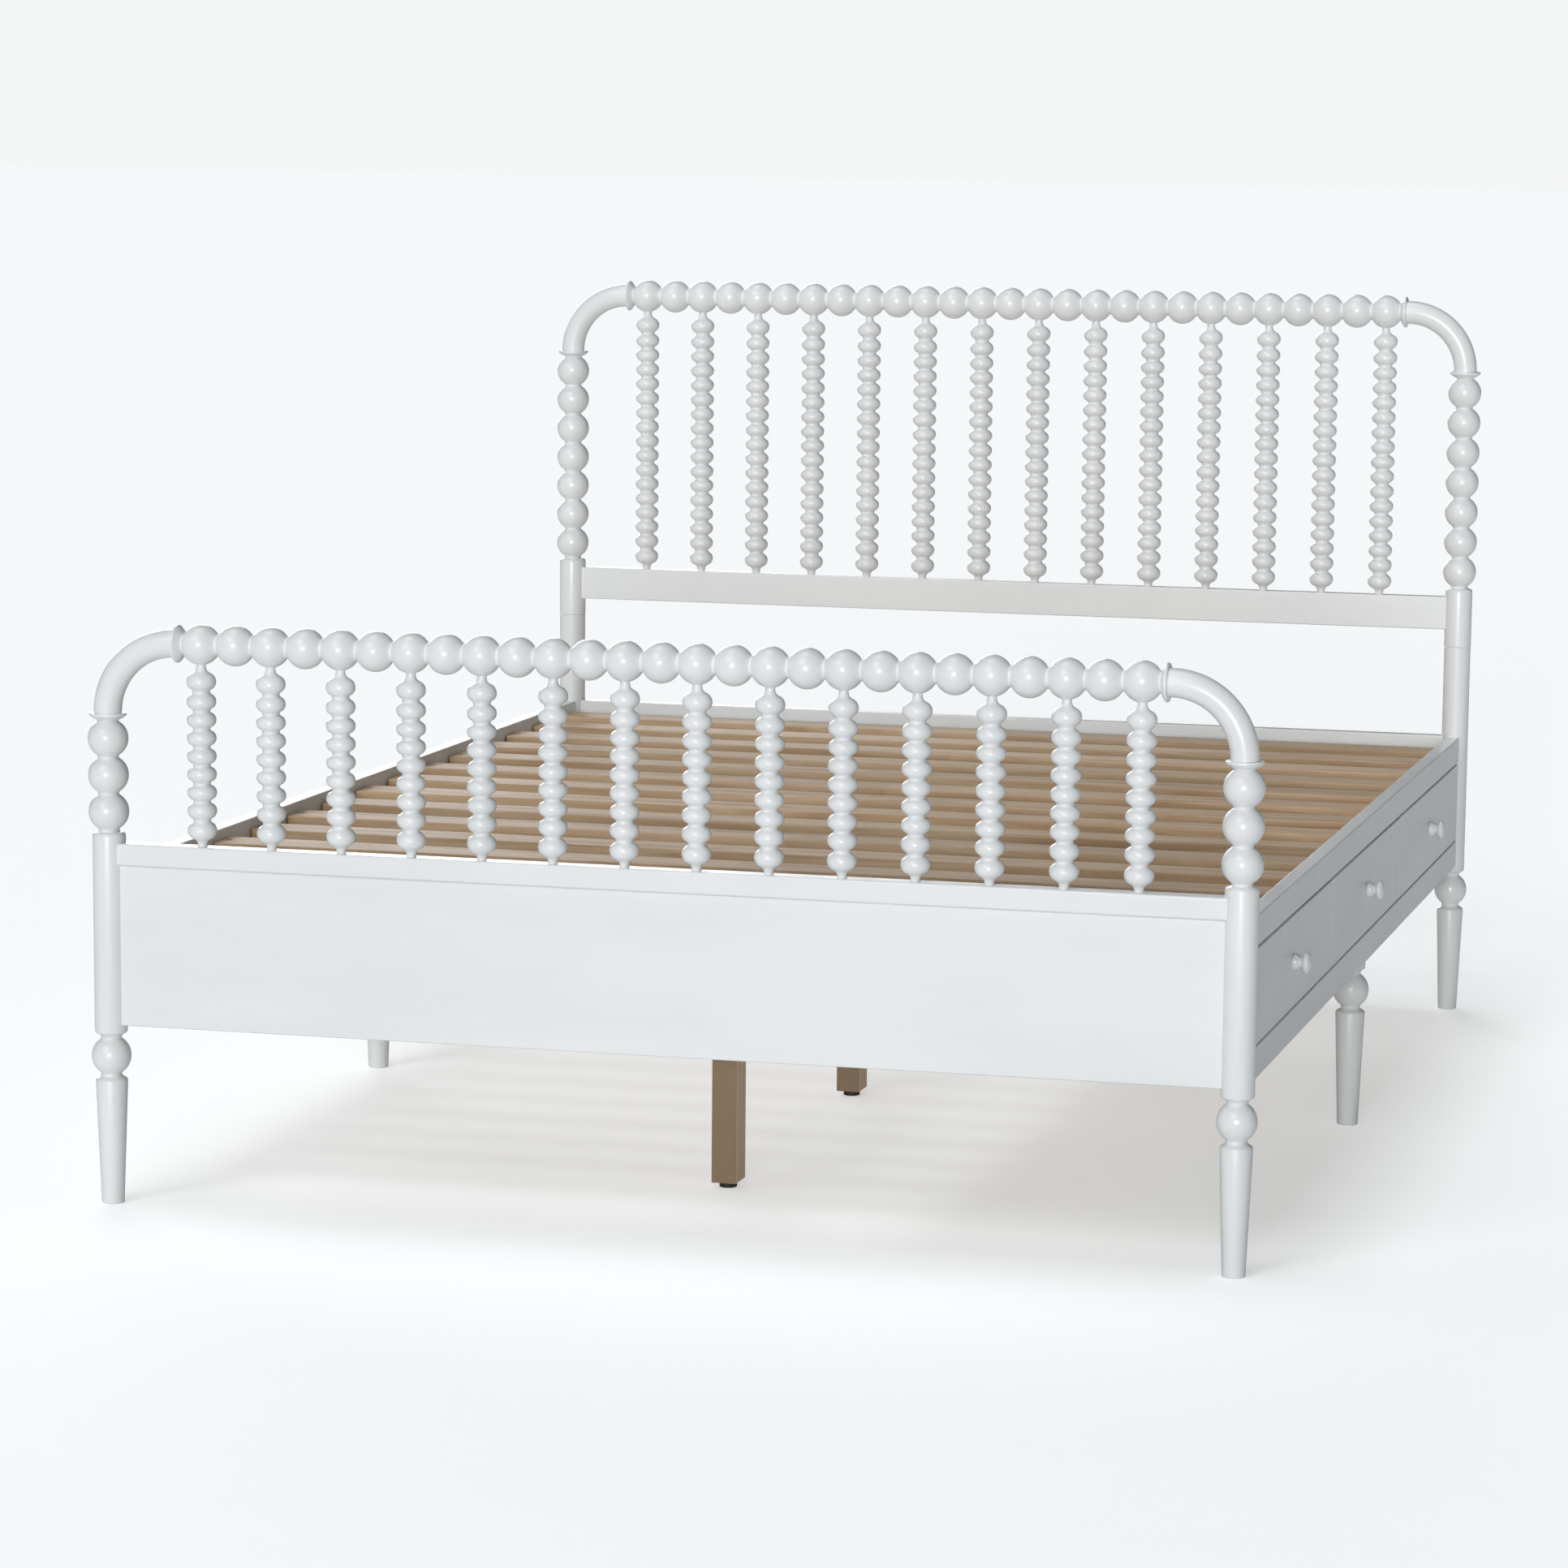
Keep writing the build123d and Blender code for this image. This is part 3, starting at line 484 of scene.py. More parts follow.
@dataclass(frozen=True)
class Outline:
    """A turned outline as the turner reads it, sampled into rings."""

    cuts: tuple[Cut, ...]
    arc_steps: int = 6
    hollow_share: float = 0.6
    least_rise: float = 0.01 * MM

    def swell(self, low: float, high: float, rise: float, softness: float) -> list[Pair]:
        """Points of the two tangent arcs from a neck up to a bead.

        Args:
            low: the neck's radius.
            high: the bead's radius.
            rise: the distance along the axis between them.
            softness: the hollow arc's share.

        Returns:
            (radius, height above the neck) pairs after the neck itself.
        """
        depth = high - low
        total = (rise**2 + depth**2) / (2 * depth)
        hollow, crown = softness * total, (1 - softness) * total
        turn = math.acos(max(-1.0, min(1.0, (total - depth) / total)))
        points = []
        hollow_steps = max(2, round(self.arc_steps * self.hollow_share)) if hollow > 0 else 0
        for step in range(1, hollow_steps + 1):
            angle = turn * step / hollow_steps
            points.append((low + hollow * (1 - math.cos(angle)), hollow * math.sin(angle)))
        for step in range(1, self.arc_steps + 1):
            angle = turn * (1 - step / self.arc_steps)
            points.append((high - crown * (1 - math.cos(angle)), rise - crown * math.sin(angle)))
        return points

    def rings(self) -> list[tuple[float, float]]:
        """The outline's (radius, height) rings, each a little above the one before.

        Returns:
            Each ring's radius and height, from the lowest up.
        """
        first = self.cuts[0]
        rings = [(first.radius, first.height)]
        for before, cut in zip(self.cuts, self.cuts[1:]):
            if cut.softness is None:
                rings.append((cut.radius, cut.height))
                continue
            rise = cut.height - before.height
            low, high = sorted((before.radius, cut.radius))
            points = self.swell(low, high, rise, cut.softness)
            if cut.radius > before.radius:
                rings += [(radius, before.height + up) for radius, up in points]
            else:
                down = [(radius, cut.height - up) for radius, up in reversed(points)]
                rings += down[1:] + [(cut.radius, cut.height)]
        spread = [rings[0]]
        for radius, height in rings[1:]:
            spread.append((radius, max(height, spread[-1][1] + self.least_rise)))
        return spread


# --------------------------------------------------------- the turning lathe


class Lathe:
    """A Geometry Nodes tree that turns a line of rings and sets the result out in a row."""

    def __init__(self) -> None:
        """Build the tree: rings to a curve, curve to a skin, skin to a row of skins."""
        tree = bpy.data.node_groups.new("Turned row", "GeometryNodeTree")
        self.tree = tree
        self.sockets: dict[str, str] = {}
        tree.interface.new_socket("Geometry", in_out="INPUT", socket_type="NodeSocketGeometry")
        for name, kind, value in (
            ("Facets", "NodeSocketInt", POST_FACETS),
            ("Pieces", "NodeSocketInt", 1),
            ("Step", "NodeSocketVector", (0.0, 0.0, 0.0)),
            ("Finish", "NodeSocketMaterial", None),
        ):
            socket = tree.interface.new_socket(name, in_out="INPUT", socket_type=kind)
            if value is not None:
                socket.default_value = value
            self.sockets[name] = socket.identifier
        tree.interface.new_socket("Geometry", in_out="OUTPUT", socket_type="NodeSocketGeometry")

        add = tree.nodes.new
        entry, leave = add("NodeGroupInput"), add("NodeGroupOutput")
        spine = add("GeometryNodeMeshToCurve")
        ring_radius = add("GeometryNodeInputNamedAttribute")
        ring_radius.data_type = "FLOAT"
        ring_radius.inputs["Name"].default_value = RADIUS_ATTRIBUTE
        ring = add("GeometryNodeCurvePrimitiveCircle")
        ring.inputs["Radius"].default_value = 1.0
        skin = add("GeometryNodeCurveToMesh")
        skin.inputs["Fill Caps"].default_value = True
        smooth = add("GeometryNodeSetShadeSmooth")
        row = add("GeometryNodeMeshLine")
        place = add("GeometryNodeInstanceOnPoints")
        real = add("GeometryNodeRealizeInstances")
        finish = add("GeometryNodeSetMaterial")
        for source, target in (
            (entry.outputs["Geometry"], spine.inputs["Mesh"]),
            (entry.outputs["Facets"], ring.inputs["Resolution"]),
            (entry.outputs["Pieces"], row.inputs["Count"]),
            (entry.outputs["Step"], row.inputs["Offset"]),
            (entry.outputs["Finish"], finish.inputs["Material"]),
            (spine.outputs["Curve"], skin.inputs["Curve"]),
            (ring.outputs["Curve"], skin.inputs["Profile Curve"]),
            (ring_radius.outputs["Attribute"], skin.inputs["Scale"]),
            (skin.outputs["Mesh"], smooth.inputs["Geometry"]),
            (row.outputs["Mesh"], place.inputs["Points"]),
            (smooth.outputs["Geometry"], place.inputs["Instance"]),
            (place.outputs["Instances"], real.inputs["Geometry"]),
            (real.outputs["Geometry"], finish.inputs["Geometry"]),
            (finish.outputs["Geometry"], leave.inputs["Geometry"]),
        ):
            tree.links.new(source, target)

    def turn(
        self,
        name: str,
        spine: list[tuple[Vector, float]],
        material: bpy.types.Material,
        facets: int = POST_FACETS,
        pieces: int = 1,
        step: Vector = Vector(),
    ) -> bpy.types.Object:
        """Turn one shape and set out its copies.

        Args:
            name: the finished object's name.
            spine: the middle and radius of each ring, in order.
            material: the finish.
            facets: how many sides a ring has.
            pieces: how many copies stand in the row.
            step: from one copy to the next.

        Returns:
            A plain mesh object.
        """
        mesh = bpy.data.meshes.new(name + "_spine")
        edges = [(index, index + 1) for index in range(len(spine) - 1)]
        mesh.from_pydata([tuple(middle) for middle, _ in spine], edges, [])
        radii = mesh.attributes.new(RADIUS_ATTRIBUTE, "FLOAT", "POINT")
        radii.data.foreach_set("value", [radius for _, radius in spine])
        blank = bpy.data.objects.new(name + "_spine", mesh)
        bpy.context.scene.collection.objects.link(blank)
        modifier = blank.modifiers.new("Turned row", "NODES")
        modifier.node_group = self.tree
        modifier[self.sockets["Facets"]] = facets
        modifier[self.sockets["Pieces"]] = pieces
        modifier[self.sockets["Step"]] = tuple(step)
        modifier[self.sockets["Finish"]] = material
        piece = Workshop.as_plain_mesh(blank, name, material)
        piece.data.set_sharp_from_angle(angle=SHARP_ANGLE)
        return piece


class Workshop:
    """The tools that every sub-assembly is made with."""

    def __init__(self, finishes: Finishes) -> None:
        """Keep the finishes and build the lathe."""
        self.finishes = finishes
        self.lathe = Lathe()

    @staticmethod
    def as_plain_mesh(
        blank: bpy.types.Object, name: str, material: bpy.types.Material
    ) -> bpy.types.Object:
        """The evaluated blank as a plain mesh object; the blank itself is removed.

        Args:
            blank: an object with its modifier still live.
            name: the finished object's name.
            material: its finish.

        Returns:
            A plain mesh object.
        """
        graph = bpy.context.evaluated_depsgraph_get()
        mesh = bpy.data.meshes.new_from_object(blank.evaluated_get(graph))
        mesh.name = name
        mesh.materials.clear()
        mesh.materials.append(material)
        if RADIUS_ATTRIBUTE in mesh.attributes:
            mesh.attributes.remove(mesh.attributes[RADIUS_ATTRIBUTE])
        made = bpy.data.objects.new(name, mesh)
        bpy.context.scene.collection.objects.link(made)
        spine = blank.data
        bpy.data.objects.remove(blank)
        bpy.data.meshes.remove(spine)
        return made

    def turn_upright(
        self,
        name: str,
        outline: Outline,
        x: float,
        y: float,
        facets: int = POST_FACETS,
        material: Optional[bpy.types.Material] = None,
    ) -> bpy.types.Object:
        """Turn an outline about a vertical axis at x and y.

        Args:
            name: the finished object's name.
            outline: the turned outline.
            x: the axis's place across the bed.
            y: the axis's place along the bed.
            facets: how many sides a ring has.
            material: the finish, or none for paint.

        Returns:
            A plain mesh object.
        """
        spine = [(Vector((x, y, height)), radius) for radius, height in outline.rings()]
        paint = material or self.finishes.paint[Grain.UP]
        return self.lathe.turn(name, spine, paint, facets)

    def board(
        self,
        name: str,
        low: Vector,
        high: Vector,
        material: bpy.types.Material,
        round_over: float,
        segments: int = 3,
    ) -> bpy.types.Object:
        """A planed board with its edges rounded over.

        Args:
            name: the finished object's name.
            low: its lowest corner.
            high: its highest corner.
            material: the finish.
            round_over: the radius of its edges.
            segments: how many faces turn each edge.

        Returns:
            A mesh object whose flats are flat and whose edges are smooth.
        """
        shape = bmesh.new()
        bmesh.ops.create_cube(shape, size=1.0)
        size, middle = high - low, (high + low) / 2
        bmesh.ops.transform(
            shape, matrix=Matrix.Translation(middle) @ Matrix.Diagonal((*size, 1.0)), verts=shape.verts
        )
        bmesh.ops.bevel(
            shape,
            geom=shape.edges[:],
            offset=round_over,
            offset_type="OFFSET",
            segments=segments,
            profile=0.5,
            affect="EDGES",
            clamp_overlap=True,
        )
        bmesh.ops.recalc_face_normals(shape, faces=shape.faces[:])
        for face in shape.faces:
            face.smooth = max(abs(part) for part in face.normal) < FLAT_NORMAL
        return self.keep(name, shape, material)

    def keep(
        self, name: str, shape: bmesh.types.BMesh, material: bpy.types.Material
    ) -> bpy.types.Object:
        """Put a worked shape into the scene under its name and finish.

        Args:
            name: the finished object's name.
            shape: the worked shape, which is freed.
            material: the finish.

        Returns:
            The new object.
        """
        mesh = bpy.data.meshes.new(name)
        shape.to_mesh(mesh)
        shape.free()
        mesh.materials.append(material)
        made = bpy.data.objects.new(name, mesh)
        bpy.context.scene.collection.objects.link(made)
        return made

    def fit(self, piece: bpy.types.Object, body: str, slot: Slot, *nodes: str) -> None:
        """Seat a finished piece in the frame in place of these nodes.

        Args:
            piece: the finished piece.
            body: the body that it moves with.
            slot: the record's material slot; not used.
            nodes: the nodes that it stands for.
        """
        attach(piece, body)
        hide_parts(*nodes)
        LOG.info("%s made: %d faces", piece.name, len(piece.data.polygons))


# ---------------------------------------------------------------- the turnings


@dataclass(frozen=True)
class BobbinStyle:
    """The turner's pattern: beads, necks, ball feet and collars, in metres."""

    neck: float = 14 * MM
    bead: float = 27.5 * MM
    bead_softness: float = 0.1
    shoulder_softness: float = 0.35
    shoulder_run: float = 8.5 * MM
    flare: float = 7 * MM
    saucer_radius: float = 20.5 * MM
    saucer_height: float = 3 * MM
    saucer_steps: int = 7
    rim: float = 3 * MM
    rim_radius: float = 25.5 * MM
    rim_break: float = 1.1 * MM
    foot_radius: float = 15.5 * MM
    foot_break: float = 1.5 * MM
    taper_radius: float = 22 * MM
    shoulder: tuple[tuple[float, float], ...] = (
        (22.0, 170.5),
        (21.7, 172.0),
        (20.8, 173.3),
        (19.0, 174.6),
        (16.8, 175.8),
        (15.0, 177.2),
        (14.2, 178.8),
    )
    ball: float = 27 * MM
    ball_bottom: float = 180 * MM
    ball_top: float = 231 * MM

    def beads(self, first_neck: float, pitch: float, count: int) -> list[Cut]:
        """A row of beads from one neck to another, the first neck left out.

        Args:
            first_neck: the height of the first neck.
            pitch: from one neck to the next.
            count: how many beads.

        Returns:
            The cuts, from the lowest up.
        """
        cuts = []
        for index in range(count):
            middle = first_neck + (index + 0.5) * pitch
            cuts.append(Cut(self.bead, middle, self.bead_softness))
            cuts.append(Cut(self.neck, middle + pitch / 2, self.bead_softness))
        return cuts

    def collar(self, neck: float) -> list[Cut]:
        """From the last neck up a saucer's smooth flare to a rounded rim.

        Args:
            neck: the height of the last neck.

        Returns:
            The cuts, from the lowest up.
        """
        top = neck + self.flare + self.rim
        bend_radius = 2 * self.saucer_radius - (self.neck + self.rim_radius) / 2
        bend_height = 2 * self.saucer_height - self.flare / 2
        cuts = []
        for step in range(1, self.saucer_steps + 1):
            along = step / self.saucer_steps
            start, bend, end = (1 - along) ** 2, 2 * along * (1 - along), along**2
            radius = start * self.neck + bend * bend_radius + end * self.rim_radius
            cuts.append(Cut(radius, neck + bend * bend_height + end * self.flare))
        return cuts + [
            Cut(self.rim_radius, top - self.rim_break),
            Cut(self.rim_radius - BREAK_SHARE * self.rim_break, top - BREAK_SHARE * self.rim_break),
            Cut(self.rim_radius - self.rim_break, top),
        ]

    def leg(self, shank: float) -> list[Cut]:
        """The tapered foot, its ball, and the shoulder up to a shank of this radius.

        Args:
            shank: the shank's radius.

        Returns:
            The cuts, from the floor up.
        """
        middle = (self.ball_bottom + self.ball_top) / 2
        swelling = (shank - self.neck) / (self.taper_radius - self.neck)
        cuts = [
            Cut(self.foot_radius - self.foot_break, 0.0),
            Cut(self.foot_radius - BREAK_SHARE * self.foot_break, BREAK_SHARE * self.foot_break),
            Cut(self.foot_radius, self.foot_break),
        ]
        cuts += [Cut(radius * MM, height * MM) for radius, height in self.shoulder]
        cuts += [
            Cut(self.neck, self.ball_bottom),
            Cut(self.ball, middle, self.bead_softness),
            Cut(self.neck, self.ball_top, self.bead_softness),
        ]
        for radius, height in reversed(self.shoulder):
            wide = self.neck + (radius * MM - self.neck) * swelling
            cuts.append(Cut(wide, self.ball_top + self.ball_bottom - height * MM))
        return cuts


@dataclass
class TurnedEnd:
    """One end of the bed: posts, elbows, beaded rail and spindles."""

    end: str
    shop: Workshop
    style: BobbinStyle = field(default_factory=BobbinStyle)
    post_radius: float = 22.5 * MM
    leg_radius: float = 22 * MM
    post_pitch: float = 50 * MM
    rail_pitch: float = 50 * MM
    elbow_section: float = 19 * MM
    elbow_radius: float = 97 * MM
    spindle_bead: float = 20 * MM
    spindle_neck: float = 11.5 * MM
    spindle_end: float = 6.5 * MM
    spindle_stub: float = 3.5 * MM
    spindle_pitch: float = 24.7 * MM
    onion_step: float = 27 * MM
    foot_rise: float = 22 * MM
    head_drop: float = 50 * MM
    spindle_softness: float = 0.22
    onion_softness: float = 0.36
    seam_break: float = 1 * MM
    tenon: float = 6 * MM
    elbow_steps: int = 28
    spindle_arc_steps: int = 4
    foot_beads: int = 3
    head_beads: int = 7

    def __post_init__(self) -> None:
        """Read the end's main places from the frame."""
        self.rail_low, self.rail_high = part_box(f"{self.end}_beaded_rail")
        self.axis = (self.rail_low + self.rail_high) / 2
        self.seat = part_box("foot_cap_rail" if self.end == "foot" else "head_cross_rail")[1].z
        self.rail_neck = self.rail_high.x - self.style.flare - self.style.rim
        self.bead_count = 2 * int(self.rail_neck / self.rail_pitch) + 1
        self.pitch = 2 * self.rail_neck / self.bead_count

    def make(self) -> None:
        """Make every turning of this end."""
        self.make_rail()
        self.make_spindles()
        for side in ("left", "right"):
            self.make_elbow(side)
            self.make_posts(side)

    def make_rail(self) -> None:
        """The beaded rail with a collar at each end."""
        mirrored = [Cut(cut.radius, -cut.height) for cut in reversed(self.style.collar(self.rail_neck))]
        cuts = (
            mirrored
            + [Cut(self.style.neck, -self.rail_neck)]
            + self.style.beads(-self.rail_neck, self.pitch, self.bead_count)
            + self.style.collar(self.rail_neck)
        )
        spine = [
            (Vector((height, self.axis.y, self.axis.z)), radius)
            for radius, height in Outline(tuple(cuts)).rings()
        ]
        name = f"{self.end}_rail_turned"
        rail = self.shop.lathe.turn(name, spine, self.shop.finishes.paint[Grain.ACROSS], TURNING_FACETS)
        self.shop.fit(rail, "bed", Slot.PAINT, f"{self.end}_beaded_rail")

    def make_spindles(self) -> None:
        """The row of spindles, one under every second bead."""
        low_bead, high_bead = self.seat + self.foot_rise, self.axis.z - self.head_drop
        rail_surface = self.axis.z - self.style.bead
        middle = high_bead - low_bead - 2 * self.onion_step
        steps = max(1, round(middle / self.spindle_pitch))
        first = low_bead + self.onion_step
        beads = [low_bead, *(first + middle * index / steps for index in range(steps + 1)), high_bead]
        cuts = [
            Cut(self.spindle_end, self.seat - self.tenon),
            Cut(self.spindle_end, self.seat),
            Cut(self.spindle_end, self.seat + self.spindle_stub),
            Cut(self.spindle_bead, low_bead, self.onion_softness),
        ]
        for below, above in zip(beads, beads[1:]):
            cuts.append(Cut(self.spindle_neck, (below + above) / 2, self.spindle_softness))
            cuts.append(Cut(self.spindle_bead, above, self.spindle_softness))
        cuts.append(Cut(self.spindle_end, rail_surface - self.spindle_stub, self.onion_softness))
        cuts.append(Cut(self.spindle_end, rail_surface))
        cuts.append(Cut(self.spindle_end, rail_surface + self.tenon))
        count = (self.bead_count + 1) // 2
        step = Vector((2 * self.pitch, 0, 0))
        start_x = -step.x * (count - 1) / 2
        spine = [
            (Vector((start_x, self.axis.y, height)), radius)
            for radius, height in Outline(tuple(cuts), self.spindle_arc_steps).rings()
        ]
        paint = self.shop.finishes.paint[Grain.UP]
        name = f"{self.end}_spindles_turned"
        spindles = self.shop.lathe.turn(name, spine, paint, SPINDLE_FACETS, count, step)
        self.shop.fit(spindles, "bed", Slot.PAINT, f"{self.end}_spindles")

    def make_elbow(self, side: str) -> None:
        """The bent corner between a post's collar and the rail's.

        Args:
            side: left or right.
        """
        way = -1 if side == "left" else 1
        node = f"{self.end}_elbow_{side}"
        low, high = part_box(node)
        post_x = way * (max(abs(low.x), abs(high.x)) - self.elbow_section)
        centre_x = post_x - way * self.elbow_radius
        foot_z = self.axis.z - self.elbow_radius
        spine = []
        for step in range(self.elbow_steps + 1):
            angle = math.pi / 2 * step / self.elbow_steps
            x = centre_x + way * self.elbow_radius * math.cos(angle)
            z = foot_z + self.elbow_radius * math.sin(angle)
            spine.append((Vector((x, self.axis.y, z)), self.elbow_section))
        end_x = way * self.rail_high.x
        spine.append((Vector((end_x, self.axis.y, self.axis.z)), self.elbow_section))
        paint = self.shop.finishes.paint[Grain.UP]
        elbow = self.shop.lathe.turn(f"{node}_bent", spine, paint, TURNING_FACETS)
        self.shop.fit(elbow, "bed", Slot.PAINT, node)

    def make_posts(self, side: str) -> None:
        """The post of one side and, at the head, the leg that it stands on.

        Args:
            side: left or right.
        """
        node = f"{self.end}_post_{side}"
        low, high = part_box(node)
        middle = (low + high) / 2
        neck = high.z - self.style.flare - self.style.rim
        bead_count = self.foot_beads if self.end == "foot" else self.head_beads
        first_neck = neck - bead_count * self.post_pitch
        upper = [
            Cut(self.post_radius, first_neck - self.style.shoulder_run),
            Cut(self.style.neck, first_neck, self.style.shoulder_softness),
            *self.style.beads(first_neck, self.post_pitch, bead_count),
            *self.style.collar(neck),
        ]
        if self.end == "foot":
            lower = self.style.leg(self.post_radius)
        else:
            lower = [
                Cut(self.post_radius - self.seam_break, low.z),
                Cut(self.post_radius, low.z + self.seam_break),
            ]
            self.make_head_leg(side, middle.x, middle.y)
        post = self.shop.turn_upright(f"{node}_turned", Outline(tuple(lower + upper)), middle.x, middle.y)
        self.shop.fit(post, "bed", Slot.PAINT, node)

    def make_head_leg(self, side: str, x: float, y: float) -> None:
        """The lower leg under a headboard post.

        Args:
            side: left or right.
            x: the post's place across the bed.
            y: the post's place along the bed.
        """
        node = f"head_leg_{side}"
        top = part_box(node)[1].z
        cuts = self.style.leg(self.leg_radius) + [
            Cut(self.leg_radius, top - self.seam_break),
            Cut(self.leg_radius - self.seam_break, top),
        ]
        leg = self.shop.turn_upright(f"{node}_turned", Outline(tuple(cuts)), x, y)
        self.shop.fit(leg, "bed", Slot.PAINT, node)


@dataclass
class SideLegs:
    """The two turned legs halfway along the bed, each lapped behind its rail."""

    shop: Workshop
    style: BobbinStyle = field(default_factory=BobbinStyle)
    shank: float = 21 * MM
    lap_thickness: float = 16 * MM
    lap_sink: float = 1 * MM

    def make(self) -> None:
        """Make both legs."""
        for side, way in (("left", -1), ("right", 1)):
            node = f"side_leg_{side}"
            lap_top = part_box(node)[1].z
            rail_low, rail_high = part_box(
                "plain_side_rail" if side == "left" else "drawer_side_bottom_rail"
            )
            outer = max(abs(rail_low.x), abs(rail_high.x))
            inner = min(abs(rail_low.x), abs(rail_high.x))
            axis_x = way * (outer - self.shank)
            cuts = self.style.leg(self.shank) + [Cut(self.shank, rail_low.z)]
            leg = self.shop.turn_upright(f"{node}_turned", Outline(tuple(cuts)), axis_x, 0.0)
            back_x = way * (inner - self.lap_thickness)
            self.add_lap(leg, axis_x, back_x, way * inner, rail_low.z, lap_top)
            self.shop.fit(leg, "bed", Slot.PAINT, node)

    def add_lap(
        self, leg: bpy.types.Object, axis_x: float, back_x: float, face_x: float, low: float, high: float
    ) -> None:
        """Add the lug that stands up behind the rail: a slice of the shank between two flats.

        Args:
            leg: the turned leg.
            axis_x: the leg's axis.
            back_x: the lug's inner flat.
            face_x: the flat against the rail.
            low: the top of the shank.
            high: the top of the lug.
        """
        outline = []
        for x, way in ((back_x, 1), (face_x, -1)):
            reach = math.sqrt(max(self.shank**2 - (x - axis_x) ** 2, 0.0))
            outline += [(x, -way * reach), (x, way * reach)]
        shape = bmesh.new()
        shape.from_mesh(leg.data)
        base = [shape.verts.new((x, y, low - self.lap_sink)) for x, y in outline]
        bottom = shape.faces.new(base)
        lifted = bmesh.ops.extrude_face_region(shape, geom=[bottom])["geom"]
        verts = [item for item in lifted if isinstance(item, bmesh.types.BMVert)]
        bmesh.ops.translate(shape, vec=(0, 0, high - low + self.lap_sink), verts=verts)
        bmesh.ops.recalc_face_normals(shape, faces=shape.faces[:])
        shape.to_mesh(leg.data)
        shape.free()


# ------------------------------------------------------------------ the boards


@dataclass
class Boards:
    """The painted boards of the frame, each with its own round-over."""

    shop: Workshop
    panel_round: float = 2 * MM
    rail_round: float = 1.8 * MM
    cap_round: float = 3 * MM

    def make(self) -> None:
        """Make the boards across the ends and along the sides."""
        across, along = Grain.ACROSS, Grain.ALONG
        for node, grain, round_over in (
            ("foot_cap_rail", across, self.cap_round),
            ("foot_panel", across, self.panel_round),
            ("head_cross_rail", across, self.panel_round),
            ("head_end_rail", across, self.panel_round),
            ("plain_side_rail", along, self.rail_round),
            ("drawer_side_top_rail", along, self.rail_round),
            ("drawer_side_bottom_rail", along, self.rail_round),
        ):
            low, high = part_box(node)
            paint = self.shop.finishes.paint[grain]
            board = self.shop.board(f"{node}_board", low, high, paint, round_over)
            self.shop.fit(board, "bed", Slot.PAINT, node)


class SlatRow:
    """A Geometry Nodes tree that lays boards like the first one in an even row."""

    def __init__(self) -> None:
        """Build the tree: the first board, set out along a line of points."""
        tree = bpy.data.node_groups.new("Slat row", "GeometryNodeTree")
        self.tree = tree
        self.sockets: dict[str, str] = {}
        tree.interface.new_socket("Geometry", in_out="INPUT", socket_type="NodeSocketGeometry")
        for name, kind in (
            ("Slats", "NodeSocketInt"),
            ("Step", "NodeSocketVector"),
            ("Finish", "NodeSocketMaterial"),
        ):
            socket = tree.interface.new_socket(name, in_out="INPUT", socket_type=kind)
            self.sockets[name] = socket.identifier
        tree.interface.new_socket("Geometry", in_out="OUTPUT", socket_type="NodeSocketGeometry")
        add = tree.nodes.new
        entry, leave = add("NodeGroupInput"), add("NodeGroupOutput")
        row = add("GeometryNodeMeshLine")
        place = add("GeometryNodeInstanceOnPoints")
        real = add("GeometryNodeRealizeInstances")
        finish = add("GeometryNodeSetMaterial")
        for source, target in (
            (entry.outputs["Slats"], row.inputs["Count"]),
            (entry.outputs["Step"], row.inputs["Offset"]),
            (entry.outputs["Geometry"], place.inputs["Instance"]),
            (entry.outputs["Finish"], finish.inputs["Material"]),
            (row.outputs["Mesh"], place.inputs["Points"]),
            (place.outputs["Instances"], real.inputs["Geometry"]),
            (real.outputs["Geometry"], finish.inputs["Geometry"]),
            (finish.outputs["Geometry"], leave.inputs["Geometry"]),
        ):
            tree.links.new(source, target)

    def lay(
        self, slat: bpy.types.Object, name: str, count: int, step: Vector, material: bpy.types.Material
    ) -> bpy.types.Object:
        """Lay this many copies of the slat, a step apart, as one plain mesh.

        Args:
            slat: the first slat, which is used up.
            name: the row's name.
            count: how many slats.
            step: from one slat to the next.
            material: the finish.

        Returns:
            A plain mesh object.
        """
        modifier = slat.modifiers.new("Slat row", "NODES")
        modifier.node_group = self.tree
        modifier[self.sockets["Slats"]] = count
        modifier[self.sockets["Step"]] = tuple(step)
        modifier[self.sockets["Finish"]] = material
        return Workshop.as_plain_mesh(slat, name, material)


